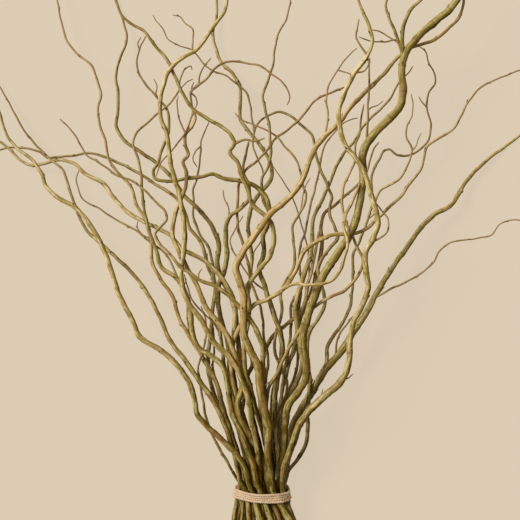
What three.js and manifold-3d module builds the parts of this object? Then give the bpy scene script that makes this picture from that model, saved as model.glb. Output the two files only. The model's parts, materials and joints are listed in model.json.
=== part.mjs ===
// A tied bunch of twisted willow stems that lies on the floor: millimetres, +Y to the tips, +Z up.
import * as THREE from "three";
import Module from "manifold-3d";
import { mergeVertices } from "three/addons/utils/BufferGeometryUtils.js";

// Real sizes of the bunch, in millimetres.
const tieWidth = 62; // across the stems inside the twine
const tieHeight = 18; // middle of the tied stems above the floor
const stemGap = 0.36; // left between two stems that rest on each other
const trimLength = 128; // from the tie down to the cut ends
const trimSpread = 1.5; // how much wider the bunch is at the cut ends than at the tie
const trimLean = 66; // front stems lean right and back ones left at the cut ends
const fanHeight = 128; // height of the topmost layer of stems above the floor
const fanLength = 180; // distance over which the layers open out above the tie
const strandThickness = 2.7;
const strandPitch = 3;
const strandTurns = 4;
const strandSlant = 3.2; // the coil sits this much lower on top than underneath

// How a place in the photo stands for a place in the bunch.
const pixelSize = 1.25; // mm per pixel in the plane of the middle of the bunch
const middleHeight = 60; // height of that plane above the floor
const eyeDistance = 1850; // from that plane up to the eye
const photoMiddle = 260;
const tieRow = 495;
const twineRow = 492; // middle of the twine at the sides of the bunch
const tieColumn = 262;

// Fineness of the round tubes.
const stemSides = 5;
const strandSides = 6;
const degree = Math.PI / 180;

const barkColours = { light: 0x8f8648, olive: 0x756c33, dark: 0x574c28, tan: 0xa58a58, brown: 0x70543a };
const juteColour = 0xd0b78a;

const stems = [];

// One stem: node name, bark, widths in mm from tie to tip, layers from back 0 to front 1, route.
function stem(name, bark, widths, front, route) {
  const made = { name, bark, widths, front: [].concat(front), route: readRoute(route), shoots: [] };
  stems.push(made);
  return made;
}

// A side shoot that grew out of a stem. Without layers of its own it keeps near its stem.
function shoot(parent, widths, front, route) {
  parent.shoots.push({ widths, front, route: readRoute(route) });
}

// A route is a row of places in the photo, column and row, from the tie towards the tip.
function readRoute(text) {
  return text.split(" ").map((pair) => pair.split(",").map(Number));
}

// Stems that lean out to the left of the tie.
const farLeft = stem("stem_01", "light", [8, 7.4, 6.5, 6.3, 5.6, 4, 2.2], [1, 0.62, 0.5, 0.36],
  "259.5,495 254,484 247,471 238,456 222,440 205,424 197,413 195,402 190,385 181,370 168,356 " +
  "154,346 141,338 132,320 120,296 112,273 104,250 90,225 76,208 54,195 46,186 41,172 33,161 " +
  "15,146 5,131 0,114 -7,94 -18,76");
const leftEdge = stem("stem_02", "olive", [6.4, 6.5, 5.8, 4.9, 3.8, 2.9, 1.7], [1, 0.4, 0.15, -0.05],
  "251,495 243,480 236,460 229,437 223,420 215,404 201,383 187,363 170,340 160,318 148,294 " +
  "130,271 107,249 86,229 75,206 68,184 64,172 50,159 38,147 23,129 13,110 4,94 -5,80");
const leftWhip = stem("stem_03", "dark", [3.9, 3.6, 3.1, 2.7, 2], [1, 0.5, 0.5, 0.5],
  "245,495 233,472 222,453 213,436 206,418 203,400 200,382 198,368 203,351 206,335 205,318 " +
  "201,306");
const longLeft = stem("stem_04", "light", [7, 6.9, 6.7, 5.6, 5.2, 4.9, 4, 2.7], [0.6, 0.5, 0.5, 0.25, 0.05],
  "254,495 258,475 252,450 246,425 237,396 233,372 232,350 235,326 234,303 226,284 213,268 " +
  "200,258 184,250 168,234 149,224 126,211 112,195 104,184 87,175 73,163 60,160 46,163 32,165 " +
  "20,160 8,148 0,142 -16,136 -30,138");
const backLeft = stem("stem_05", "olive", [5.6, 5.2, 5.4, 4.7, 3.8, 3.1, 2], [0.3, 0.25, 0.1, -0.05, -0.1],
  "240,495 240,470 233,445 227,421 217,402 210,380 208,356 211,332 213,306 215,288 207,263 " +
  "201,243 189,226 184,210 176,198 155,184 135,171 112,160 88,153 70,156 57,157 48,158 40,152 " +
  "22,148 8,148 -10,153");
shoot(backLeft, [3.2, 3, 2.6, 1.9], [], "227,421 222,402 217,384 213,368 214,350 214,338 212,322 207,310");
const paleLeft = stem("stem_06", "tan", [6, 5.9, 5.6, 4.5, 3.8, 3.1, 2.7, 1.8], [0.55, 0.34, 0.3, 0.12],
  "246,495 246,475 239,455 232,435 224,410 215,380 205,361 188,334 178,315 173,298 160,278 " +
  "152,262 151,244 147,223 137,206 130,185 119,174 109,160 106,143 99,122 98,109 101,95 96,78 " +
  "92,66 80,56 68,43 62,24 57,0 53,-20 56,-36");
shoot(paleLeft, [3, 2.2, 1.7], [], "191,339 188,325 187,312 187,301");
// Stems of the front of the bunch, which cross it from right to left.
const frontLeft = stem("stem_07", "olive", [8, 7.8, 6.7, 6, 5.2, 3.4, 2.7, 1.7], [1, 0.44, 0.44, 0.44],
  "267,495 262,483 254,466 247,448 241,432 231,410 228,388 223,367 213,357 200,349 193,335 " +
  "191,318 188,299 179,281 160,265 157,252 150,235 145,214 142,193 141,175 138,158 133,144 " +
  "136,133 145,125 156,115 168,105 178,92 181,78 186,68 191,66 192,70");
shoot(frontLeft, [2.8, 2.4, 2.2, 1.5], [],
  "178,280 172,265 164,252 150,242 135,230 115,219 98,208 82,198 78,187 76,179 79,170");
shoot(frontLeft, [1.8, 1.4], [], "151,240 142,234 137,227 138,221");
shoot(frontLeft, [1.7, 1.3], [], "178,92 183,86 187,82 193,79");
const frontMiddle = stem("stem_08", "tan", [7.6, 7.8, 6.9, 6, 5.4, 4.3, 3.4, 2.7, 1.7], [1, 0.6, 0.6, 0.6],
  "275,495 270,478 265,464 257,448 247,430 240,418 238,404 242,388 243,374 236,358 228,337 " +
  "216,320 205,305 197,286 188,269 179,252 173,238 174,220 180,201 186,185 186,170 183,161 " +
  "188,155 185,144 186,134 192,127 195,119 191,103 191,92 199,85 208,77 216,67 227,62 240,62 " +
  "250,64 259,65 270,73 281,81 288,91 290,98 287,105");
shoot(frontMiddle, [2.2, 1.4], [], "198,85 200,76 203,68 211,58");
shoot(frontMiddle, [2.1, 1.4], [], "191,93 196,98 197,104 195,109");
shoot(frontMiddle, [2.1, 1.4], [], "186,134 181,124 178,114 177,104 178,96");
shoot(frontMiddle, [2.4, 2.2, 1.5], [], "193,112 190,121 188,128 180,140 172,150 161,163 156,176");
shoot(frontMiddle, [1.6, 1.3], [], "191,92 192,87 194,82");
const frontTall = stem("stem_09", "light", [7.6, 7.8, 7.2, 6.5, 6, 5.6, 5.2, 4.5, 3.1], [0.6, 0.84, 0.84, 0.84],
  "263,495 262,475 258,452 253,425 248,398 243,383 236,367 229,357 215,343 199,317 187,300 " +
  "182,285 181,272 184,250 183,214 178,190 172,170 169,150 167,135 161,118 160,104 163,86 " +
  "171,68 184,57 197,49 207,36 217,22 225,10 227,-4 226,-20 232,-36");
shoot(frontTall, [2.3, 1.8, 1.4], [], "192,52 193,40 193,30 185,23 180,17 173,15");
// Stems behind them.
const darkLeft = stem("stem_10", "dark", [7, 7.1, 6.7, 6, 5.6, 4.7, 4, 3.1, 2.2], [0.4, 0.42, 0.4, 0.25, -0.02],
  "261,495 264,470 259,445 253,420 248,397 246,378 239,350 237,332 236,316 230,295 221,277 " +
  "217,264 219,246 213,228 200,211 184,195 172,178 158,164 142,153 125,141 117,128 118,108 " +
  "118,92 116,74 120,58 127,40 124,24 119,10 114,-6 113,-24");
const tallMiddle = stem("stem_11", "olive", [6, 6.1, 5.8, 5.6, 6, 5.2, 4.5, 4.3, 3.4, 2.2], [0.6, 0.6, 0.75, 0.88, 0.95],
  "279,495 274,470 266,440 256,410 250,385 245,368 244,352 246,336 248,320 249,304 247,289 " +
  "258,271 271,254 274,240 271,223 262,213 253,205 248,190 242,177 238,163 230,151 234,143 " +
  "230,134 219,125 203,116 192,108 182,92 174,74 167,60 153,43 145,32 133,25 121,14 117,2 " +
  "112,-14 116,-30");
shoot(tallMiddle, [3.2, 2.8, 1.9], [], "234,144 245,140 256,141 265,138");
const crossing = stem("stem_12", "dark", [6.6, 6.7, 6.7, 6.3, 6, 5.6, 4.5, 3.8, 2.9, 1.8], [0.5, 0.6, 0.66, 0.62, 0.55],
  "274,495 279,470 277,440 275,415 275,395 278,376 282,352 281,335 275,318 269,300 264,283 " +
  "259,268 264,253 263,238 268,222 269,208 264,194 253,185 240,181 226,179 213,174 200,177 " +
  "185,179 165,181 154,177 153,171 158,163 161,152 167,138 169,122 167,110 158,98 147,86 139,74 " +
  "137,62 140,48 146,36");
shoot(crossing, [3.9, 3.5, 3.7, 3.5, 3, 2.6, 2.2, 1.5], [],
  "269,211 264,202 262,190 262,178 267,169 271,155 270,140 269,125 265,108 263,97 268,80 273,65 " +
  "275,48 278,34 286,20 290,4 291,-12");
shoot(crossing, [1.6, 1.2], [], "155,95 157,87 154,79");
shoot(crossing, [1.7, 1.3], [], "140,50 138,44 141,37");
shoot(crossing, [1.9, 1.6, 1.3], [], "265,238 260,243 256,249 252,256");
shoot(crossing, [2.4, 2.1, 1.4], [],
  "264,292 256,284 249,276 240,262 232,249 230,241 235,230 240,221 243,216");
const paleCrossing = stem("stem_13", "tan", [9, 9.9, 10.1, 9, 8.3, 7.6, 6.7, 5.6, 4.7, 4, 2.7], [1, 0.75, 0.75, 0.72, 0.6],
  "281,495 272,472 268,448 269,428 264,407 260,388 258,366 250,350 244,335 244,314 243,294 " +
  "238,277 236,268 241,255 256,234 271,213 291,196 301,183 307,167 315,149 326,135 338,124 " +
  "350,108 363,94 384,74 400,55 413,47 432,41 450,27 460,16 463,5 465,-10 472,-26");
shoot(paleCrossing, [2.2, 1.5], [], "263,387 268,383 272,380");
shoot(paleCrossing, [2.2, 1.5], [], "273,212 276,208 277,206");
shoot(paleCrossing, [2.6, 2.4, 1.9, 1.4], [],
  "325,136 327,126 328,114 326,99 329,85 338,70 346,58 357,48");
shoot(paleCrossing, [1.7, 1.3], [], "338,70 344,72 350,74 355,77");
// Stems that lean out to the right.
const thick = stem("stem_14", "dark", [9.4, 9.6, 9.8, 10, 10, 9.8, 9.6, 9.4, 9, 8], [0.7, 0.82, 0.84, 0.8, 0.68],
  "280,495 280,472 284,448 285,425 289,404 299,391 306,377 305,358 303,338 307,318 314,298 " +
  "323,276 336,256 350,234 358,213 361,194 363,172 363,153 370,139 386,122 399,108 403,92 " +
  "402,70 405,54 418,37 437,20 452,7 459,-4 466,-20 474,-34");
shoot(thick, [4.3, 3.9, 3.2, 2.4], [], "404,58 400,46 394,29 388,16 386,6 388,-6 385,-20");
shoot(thick, [5.4, 5.4, 4.3, 2.8], [], "404,60 402,42 404,24 410,11 420,1 434,-9");
shoot(thick, [3.5, 2.8, 2.4, 1.7], [],
  "366,145 367,130 368,116 368,103 369,90 369,76 369,63 367,54");
shoot(thick, [2.4, 1.9, 1.5], [], "402,48 396,40 384,42 370,41 359,37");
shoot(thick, [1.9, 1.4], [], "398,42 389,37 379,31 371,30");
shoot(thick, [1.9, 1.5, 1.3], [], "368,110 372,107 378,105 383,101");
const rightEdge = stem("stem_15", "olive", [8.6, 9, 9.6, 9, 7.6, 6.7, 6, 5.2, 3.8, 2.2], [0.4, 0.6, 0.4, 0.1, -0.1],
  "286,495 286,470 289,448 292,428 302,408 313,390 326,369 342,350 353,333 366,313 378,291 " +
  "392,268 406,249 418,231 434,215 452,204 459,193 468,179 487,160 506,146 520,135 535,124 " +
  "548,112");
shoot(rightEdge, [5, 4.3, 3.7, 3.2, 3.2, 2.6, 2.2, 1.6], [],
  "325,370 327,358 328,345 334,335 344,320 350,307 352,290 353,268 353,256 359,242 363,232 " +
  "368,219 372,205 372,192 371,180 375,167 380,158 384,151 389,149 397,155 406,156 418,151 " +
  "427,142 431,126 427,107 428,94 435,83 435,75 428,61 425,51 417,45");
shoot(rightEdge, [2.8, 2.4, 1.9], [], "336,357 336,347 340,334 347,324 353,316");
shoot(rightEdge, [1.9, 1.4], [], "334,334 338,329 341,322");
shoot(rightEdge, [1.8, 1.4], [], "368,219 373,215 376,209");
shoot(rightEdge, [1.7, 1.3], [], "427,108 422,102 419,97");
shoot(rightEdge, [2.8, 2.2, 1.9, 1.5], [],
  "376,299 391,289 408,281 425,270 433,263 439,252 449,243 465,240 480,238 491,235 500,224 " +
  "512,220 522,221 534,224");
const paleRight = stem("stem_16", "light", [8.4, 8.8, 9, 7.4, 6.9, 6.7, 6.5, 6, 5.4, 4, 2.5], [1, 0.92, 0.92, 0.92],
  "285,495 284,478 286,462 293,443 300,424 309,411 325,396 341,381 349,362 350,342 353,323 " +
  "363,304 368,288 366,270 366,252 374,236 378,222 374,204 369,188 364,172 355,157 345,145 " +
  "340,126 339,110 344,94 355,73 367,56 372,42 370,28 363,12 357,-3 354,-18 357,-34");
shoot(paleRight, [2.6, 2.2, 1.7], [], "370,242 380,238 388,230 388,219 381,210 376,203");
shoot(paleRight, [3.2, 3, 2.6, 2.4, 1.9, 1.5], [],
  "374,204 380,191 389,185 399,179 408,164 412,150 406,136 407,126 412,116 413,105 411,94");
shoot(paleRight, [2.4, 1.7], [], "356,73 364,71 368,66 370,58");
shoot(paleRight, [2.6, 2.2, 1.7], [], "367,55 360,45 356,37 357,28 359,19");
shoot(paleRight, [1.8, 1.4], [], "342,380 348,378 353,374");
shoot(paleRight, [1.8, 1.4], [], "316,403 321,396 323,389");
shoot(paleRight, [1.8, 1.5, 1.3], [], "412,151 416,146 418,140 421,133");
const rightLoop = stem("stem_17", "dark", [4.6, 4.8, 5.6, 5.2, 4.5, 4.3, 3.8, 3.6, 3.1, 2.5, 1.8], [0.55, 0.36, 0.36, 0.3],
  "288,495 286,480 290,469 299,457 306,443 308,428 307,412 309,396 310,380 308,362 307,348 " +
  "309,334 317,320 324,307 324,294 321,282 318,270 321,260 330,248 338,237 335,228 330,216 " +
  "330,206 332,198 328,187 321,171 316,154 314,142 311,134 302,126 291,116 279,112 266,117 " +
  "256,126 254,133 253,146 259,161 263,173 262,182");
shoot(rightLoop, [2.6, 2.2, 1.8, 1.3], [],
  "254,132 252,120 250,104 247,93 238,85 226,76 210,69 203,63 197,55 191,50 178,45 168,39 " +
  "163,29 156,21 153,15");
const paleThread = stem("stem_18", "tan", [4, 4, 4, 4, 3.8, 3.6, 2.9, 2.5, 1.7], [0.45, 0.5, 0.5, 0.5],
  "279,495 284,475 284,458 279,448 276,434 275,420 279,409 286,396 287,382 281,368 275,352 " +
  "275,338 278,326 282,312 281,292 285,282 293,269 295,256 293,238 293,224 300,213 305,203 " +
  "306,195 303,186 301,175 299,166 293,155 284,146 276,136 264,129 250,123 240,119 235,113");
shoot(paleThread, [1.8, 1.4], [], "276,434 274,442 272,448");
shoot(paleThread, [2.1, 1.7, 1.4], [], "302,212 302,202 303,194 306,185 310,178");
const sweeping = stem("stem_19", "tan", [5.6, 5.5, 5.6, 5.4, 5.2, 4.5, 3.8, 3.1, 2.5, 1.7], [0.35, 0.8, 0.79, 0.7, 0.5],
  "258,495 254,470 247,440 240,410 234,385 231,362 233,345 238,330 245,317 253,306 268,299 " +
  "281,291 292,278 299,263 304,251 315,243 326,237 340,234 352,234 366,229 377,219 388,208 " +
  "403,194 410,183 420,170 424,158 427,147 441,137 455,127 461,116 468,102 480,88 500,78 520,70 " +
  "536,66");
shoot(sweeping, [4.1, 3.9, 4.1, 3.9, 2.8], [0.79, 0.93, 0.93, 0.7, 0.6],
  "283,290 293,284 306,285 320,284 332,280 340,271 344,259 347,248 347,238 344,229 345,218 " +
  "350,206 356,193 360,183");
const palest = stem("stem_20", "tan", [4.6, 4.4, 4.3, 4.3, 4, 3.6, 3.4, 2.9, 2], [0.45, 0.97, 0.96, 0.76, 0.6],
  "270,495 271,470 269,445 266,420 267,400 269,388 277,373 283,360 292,343 301,328 307,316 " +
  "316,306 332,296 345,290 354,281 361,270 363,262 357,247 352,235 347,225 343,212 342,199 " +
  "344,186 350,172 355,160 355,148 360,132 361,118 364,104");
const greenRight = stem("stem_21", "olive", [5.6, 5.7, 6.3, 6.3, 6.3, 5.6, 4.5, 3.6, 2.9, 1.8], [0.35, 0.46, 0.46, 0.46],
  "282,495 283,470 282,445 282,420 286,401 296,383 302,366 300,345 297,325 296,305 300,288 " +
  "305,272 311,254 312,236 313,220 321,202 331,180 338,163 346,150 356,139 362,128 376,113 " +
  "390,99 397,86 402,78 409,72 413,66");
const innerRight = stem("stem_22", "tan", [5, 5.2, 5.6, 5.4, 4.9, 4.3, 3.4], [0.3, 0.4, 0.4, 0.4],
  "271,495 270,470 264,440 260,410 262,380 263,360 268,343 276,333 287,324 298,315 305,303 " +
  "307,288 311,272 314,258 317,244 319,231");
const redBrown = stem("stem_23", "brown", [5.6, 5.9, 6, 5.8, 5.6, 5.6, 4.9, 4, 2.9, 1.8], [0.2, 0.32, 0.32, 0.32],
  "275,495 275,465 272,435 272,410 274,390 279,374 290,360 296,343 298,326 303,312 309,298 " +
  "314,283 318,268 321,252 322,240 321,226 325,213 336,204 347,194 358,185 366,174 370,160 " +
  "374,149 379,142");
const darkMiddle = stem("stem_24", "dark", [5.6, 5.9, 6, 5.8, 6, 6.3, 5.6, 4.5, 2.9], [0.35, 0.56, 0.56, 0.56],
  "250,495 250,470 243,445 238,420 232,395 229,370 229,350 225,332 220,316 218,300 219,285 " +
  "224,271 227,256 226,240 226,226 230,216 240,209 248,201 249,187 243,172 245,158 249,141");
shoot(darkMiddle, [1.9, 1.4], [], "228,219 228,206 224,197 223,190");
const wanderer = stem("stem_25", "olive", [6, 6.1, 6.3, 6, 5.2, 4, 3.1, 2.7, 2.5, 1.7], [0.6, 0.92, 0.8, 0.6, 0.5],
  "268,495 270,470 266,440 264,410 264,385 263,362 263,348 258,334 250,319 240,307 230,297 " +
  "215,286 200,280 190,273 180,267 170,254 159,243 155,234 160,227 167,219 165,211 157,203 " +
  "147,193 137,184 128,179 116,175 108,169 98,162 88,156 81,146 74,134 68,127 60,119");
shoot(wanderer, [1.9, 1.6], [], "198,279 199,273 202,269");
const tallBack = stem("stem_26", "olive", [5.2, 5.2, 5.2, 4.9, 4.7, 5.2, 4.9, 4.5, 3.8, 2.7], [0.15, 0.3, 0.25, 0],
  "254,495 252,470 246,445 241,420 244,398 247,378 252,364 250,350 245,335 245,318 247,300 " +
  "250,284 251,268 252,256 250,242 248,224 252,206 260,193 268,184 272,174 270,162 262,148 " +
  "250,133 241,120 240,104 240,88 234,75 221,62 215,46 213,32 216,20 217,0 220,-18");
const thinBack = stem("stem_27", "dark", [5.2, 5.2, 5.6, 4.9, 4, 3.4, 2.9, 2.5, 1.5], [0.2, 0.38, 0.38, 0.38],
  "248,495 246,470 241,440 235,415 230,390 224,365 222,345 220,328 219,312 218,297 215,282 " +
  "213,268 211,256 208,246 202,238 197,228 193,214 194,200 193,190 197,178 199,166 201,150 " +
  "201,142 205,131 209,122");
shoot(thinBack, [2.1, 1.7, 1.5], [], "201,146 195,152 193,159 197,167");
shoot(thinBack, [2.6, 2.2, 1.6], [], "223,348 220,334 212,321 203,313 193,301 188,288 184,274");
// Thin stems that show only between the others.
const palestThread = stem("stem_28", "tan", [4, 4, 4, 3.4, 2.9, 2.5, 1.8, 1.2], [0.1, 0.1, 0],
  "272,495 279,465 278,435 279,410 284,385 290,362 295,340 299,320 305,300 309,282 309,262 " +
  "308,250 304,234 299,216 293,199 285,184 277,172 272,165");
const thinTall = stem("stem_29", "brown", [4, 4, 3.8, 3.6, 3.4, 3.1, 2.7, 2.2, 1.6], [0.1, 0.2, 0.05],
  "279,495 281,465 280,435 283,410 290,388 297,368 298,345 298,322 300,300 301,282 300,268 " +
  "299,255 301,243 305,232 308,218 311,203 315,188 319,172 321,160 323,149 329,139 337,130 " +
  "344,123 352,119 358,118");
const longThread = stem("stem_30", "brown", [4.4, 4.2, 4, 3.4, 3.4, 3.6, 3.4, 3.1, 2.9, 2.5], [0.2, 0.48, 0.48, 0.48],
  "264,495 269,465 266,435 263,405 266,380 268,358 264,338 263,322 260,306 255,292 250,280 " +
  "249,268 246,256 243,243 238,228 237,214 238,198 240,180 245,171 258,160 268,149 273,141 " +
  "290,128 298,121 308,109 314,101 328,94 345,87");
const shortRight = stem("stem_31", "olive", [4.6, 4.6, 4.5, 4, 3.4, 2.2], [0.15, 0.4, 0.38, 0.38],
  "276,495 277,465 279,435 281,405 283,380 287,358 290,338 291,318 291,306 296,295 301,283 " +
  "306,268 310,262");


// A value between the entries of a short list, at a share from 0 to 1 of its length.
function along(list, share) {
  const place = Math.min(Math.max(share, 0), 1) * (list.length - 1);
  const from = Math.min(Math.floor(place), list.length - 2);
  return list.length === 1 ? list[0] : list[from] + (list[from + 1] - list[from]) * (place - from);
}

function smooth(from, to, value) {
  const t = Math.min(Math.max((value - from) / (to - from), 0), 1);
  return t * t * (3 - 2 * t);
}

// The place at a height that the photo shows at this column or row.
function sightX(column, height) {
  return ((column - photoMiddle) * pixelSize * (middleHeight + eyeDistance - height)) / eyeDistance;
}

function sightY(row, height) {
  return ((photoMiddle - row) * pixelSize * (middleHeight + eyeDistance - height)) / eyeDistance;
}

// Share of a route's length at each of its places.
function shares(route) {
  const run = [0];
  for (let i = 1; i < route.length; i++) {
    const step = Math.hypot(route[i][0] - route[i - 1][0], route[i][1] - route[i - 1][1]);
    run.push(run[i - 1] + step);
  }
  return run.map((length) => length / run[run.length - 1]);
}

// Places of the stems side by side inside the twine: round sections pressed into a flat oval.
function packSections() {
  const middle = 0.5 * (Math.max(...stems.map((s) => s.front[0])) + Math.min(...stems.map((s) => s.front[0])));
  const sections = stems.map((s) => ({
    x: (s.route[0][0] - tieColumn) * pixelSize,
    aim: (s.route[0][0] - tieColumn) * pixelSize,
    z: (s.front[0] - middle) * 40,
    radius: s.widths[0] * 0.53 + stemGap / 2,
  }));
  for (let pass = 0; pass < 900; pass++) {
    const pull = pass < 600 ? 1 : 0;
    const moves = sections.map(() => [0, 0]);
    for (let i = 0; i < sections.length; i++) {
      for (let j = 0; j < i; j++) {
        const dx = sections[i].x - sections[j].x;
        const dz = sections[i].z - sections[j].z;
        const apart = Math.hypot(dx, dz) + 1e-9;
        const press = Math.max(sections[i].radius + sections[j].radius - apart, 0) * 0.3;
        moves[i][0] += (dx / apart) * press;
        moves[i][1] += (dz / apart) * press;
        moves[j][0] -= (dx / apart) * press;
        moves[j][1] -= (dz / apart) * press;
      }
    }
    sections.forEach((section, i) => {
      const side = tieWidth / 2 - section.radius;
      section.x += moves[i][0] + (section.aim - section.x) * 0.04 * pull;
      section.z = (section.z + moves[i][1]) * (1 - 0.03 * pull);
      section.x = Math.min(Math.max(section.x, -side), side);
    });
  }
  const lowest = Math.min(...sections.map((section) => section.z - section.radius));
  sections.forEach((section) => {
    section.z += strandThickness + stemGap - lowest;
  });
  return sections;
}

// Height that a stem makes for, this far above the tie and at this layer.
function layerHeight(slotHeight, radius, front, distance) {
  const open = 1 - Math.exp(-Math.max(distance, 0) / fanLength);
  return slotHeight * (1 - open) + (radius + front * fanHeight) * open;
}

// Centre line of a stem: trimmed foot, tie, and the route above it.
function stemLine(item, slot, index, depth) {
  const line = { stem: index, layer: index, spots: [], parent: null };
  const tieY = sightY(tieRow, slot.z);
  const foot = trimLength + 5 * Math.sin(index * 2.4);
  const radius = item.widths[0] / 2;
  for (const down of [1, 0.76, 0.54, 0.34, 0.17, 0.06]) {
    const spread = 1 + (trimSpread - 1) * (1 - (1 - down) * (1 - down));
    const layer = ((slot.z - depth) / 15) * (1 - 0.75 * (slot.x / (tieWidth / 2)) ** 2);
    line.spots.push({
      x: slot.x * spread + trimLean * layer * down + 1.5 * Math.sin(index * 1.7 + down * 5) * down,
      y: tieY - foot * down,
      z: Math.max(radius, slot.z + (slot.z - depth) * (spread - 1)),
      radius: radius * (1 + 0.06 * down),
      hold: 0,
    });
  }
  const share = shares(item.route);
  item.route.forEach(([column, row], i) => {
    const spotRadius = along(item.widths, share[i]) / 2;
    const distance = (tieRow - row) * pixelSize;
    const height = layerHeight(slot.z, spotRadius, along(item.front, share[i]), distance);
    const settle = 1 - smooth(tieRow - 5, tieRow - 75, row);
    line.spots.push({
      column: column,
      row: row,
      x: sightX(column, height) + (slot.x - sightX(item.route[0][0], slot.z)) * settle,
      y: sightY(row, height),
      z: Math.max(height, spotRadius),
      radius: spotRadius,
      hold: smooth(tieRow - 20, tieRow - 80, row),
    });
  });
  return line;
}

// The nearest place on a stem's line to where a shoot starts in the photo.
function joinOf(parent, column, row) {
  let best = null;
  parent.spots.slice(0, -1).forEach((from, i) => {
    const to = parent.spots[i + 1];
    if (from.column === undefined) return;
    const du = to.column - from.column;
    const dv = to.row - from.row;
    const share = ((column - from.column) * du + (row - from.row) * dv) / (du * du + dv * dv);
    const t = Math.min(Math.max(share, 0), 1);
    const off = Math.hypot(column - from.column - du * t, row - from.row - dv * t);
    if (!best || off < best.off) best = { index: i, t, off, column: from.column + du * t, row: from.row + dv * t };
  });
  return best;
}

// Centre line of a side shoot, which starts on the middle of its stem or of an earlier shoot.
function shootLine(item, parents, index, order) {
  const joins = parents.map((own) => joinOf(own, ...item.route[0]));
  const nearest = joins.reduce((best, join, i) => (join.off < joins[best].off ? i : best), 0);
  const parent = parents[nearest];
  const line = { stem: index, layer: index, spots: [], parent, join: joins[nearest] };
  if (item.front.length) line.layer = stems.length + order;
  const from = parent.spots[line.join.index];
  const to = parent.spots[line.join.index + 1];
  const start = from.z + (to.z - from.z) * line.join.t;
  const share = shares(item.route);
  const lift = order % 2 ? 0.1 : -0.07;
  item.route.forEach((place, i) => {
    const column = i ? place[0] : line.join.column;
    const row = i ? place[1] : line.join.row;
    const radius = along(item.widths, share[i]) / 2;
    const away = Math.hypot(column - line.join.column, row - line.join.row) * pixelSize;
    let height = start + lift * Math.min(away, 120);
    if (item.front.length) {
      const own = layerHeight(start, radius, along(item.front, share[i]), (tieRow - row) * pixelSize);
      height = start + (own - start) * smooth(0, 30, away);
    }
    height = Math.max(height, radius);
    line.spots.push({ column, row, x: sightX(column, height), y: sightY(row, height), z: height, radius, hold: 1 });
  });
  return line;
}

// Pairs of straight pieces, of two stems, that lie close enough to touch.
function closePairs(pieces, margin) {
  const pairs = [];
  const box = (piece) => {
    const [a, b] = piece.ends;
    const reach = Math.max(a.radius, b.radius) + stemGap / 2 + margin;
    return [
      Math.min(a.x, b.x) - reach, Math.max(a.x, b.x) + reach,
      Math.min(a.y, b.y) - reach, Math.max(a.y, b.y) + reach,
    ];
  };
  const boxes = pieces.map(box);
  for (let i = 0; i < pieces.length; i++) {
    for (let j = 0; j < i; j++) {
      if (pieces[i].stem === pieces[j].stem) continue;
      const [a, b] = [boxes[i], boxes[j]];
      if (a[0] < b[1] && b[0] < a[1] && a[2] < b[3] && b[2] < a[3]) pairs.push([pieces[i], pieces[j]]);
    }
  }
  return pairs;
}

// Where two pieces may touch, as shares along both: their crossing, and each end against the other.
function touches(a, b, flat) {
  const [p, p1] = a.ends;
  const [q, q1] = b.ends;
  const tall = flat ? 0 : 1;
  const d = [p1.x - p.x, p1.y - p.y, (p1.z - p.z) * tall];
  const e = [q1.x - q.x, q1.y - q.y, (q1.z - q.z) * tall];
  const r = [p.x - q.x, p.y - q.y, (p.z - q.z) * tall];
  const dot = (m, n) => m[0] * n[0] + m[1] * n[1] + m[2] * n[2];
  const dd = dot(d, d);
  const ee = dot(e, e);
  const de = dot(d, e);
  const dr = dot(d, r);
  const er = dot(e, r);
  const clamp = (value) => Math.min(Math.max(value, 0), 1);
  const list = [[0, clamp(er / ee)], [1, clamp((er + de) / ee)], [clamp(-dr / dd), 0], [clamp((de - dr) / dd), 1]];
  const low = dd * ee - de * de;
  if (low > 1e-6 * dd * ee) {
    const s = (de * er - ee * dr) / low;
    const t = (dd * er - de * dr) / low;
    if (s > 0 && s < 1 && t > 0 && t < 1) list.push([s, t]);
  }
  return list;
}

// Parts touching stems until they clear each other. Above the tie they part only in height.
function settle(lines) {
  const spots = lines.flatMap((line) => line.spots);
  const pieces = [];
  lines.forEach((line) => {
    for (let i = 1; i < line.spots.length; i++) {
      pieces.push({ stem: line.stem, layer: line.layer, ends: line.spots.slice(i - 1, i + 1) });
    }
  });
  const tieY = sightY(tieRow, tieHeight);
  spots.forEach((spot) => {
    spot.floor = (strandThickness + stemGap) * (1 - smooth(10, 75, Math.abs(spot.y - tieY)));
    spot.aim = [spot.x, spot.y, spot.z];
  });
  const order = layerOrder(closePairs(pieces, 5));
  let pairs = [];
  for (let pass = 0; pass < 460; pass++) {
    if (pass % 20 === 0) pairs = closePairs(pieces, 1.5);
    spots.forEach((spot) => {
      spot.move = [0, 0, 0];
      spot.load = 0;
    });
    pairs.forEach(([a, b]) => press(a, b, order));
    spots.forEach((spot) => {
      const share = 1 / Math.max(spot.load, 1);
      spot.x += spot.move[0] * share;
      spot.y += spot.move[1] * share * 0.2;
      spot.z += spot.move[2] * share;
    });
    if (pass < 300) lines.forEach((line) => ease(line));
    lines.forEach((line) => join(line));
    spots.forEach((spot) => rest(spot));
  }
}

// Which of two stems lies above: the one that makes for the greater height where they are close.
function layerOrder(pairs) {
  const count = stems.length + 8;
  const order = Array.from({ length: count }, () => new Array(count).fill(0));
  for (const [a, b] of pairs) {
    const above = aimHeight(a, 0.5) - aimHeight(b, 0.5);
    order[a.layer][b.layer] += above;
    order[b.layer][a.layer] -= above;
  }
  return order;
}

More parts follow.
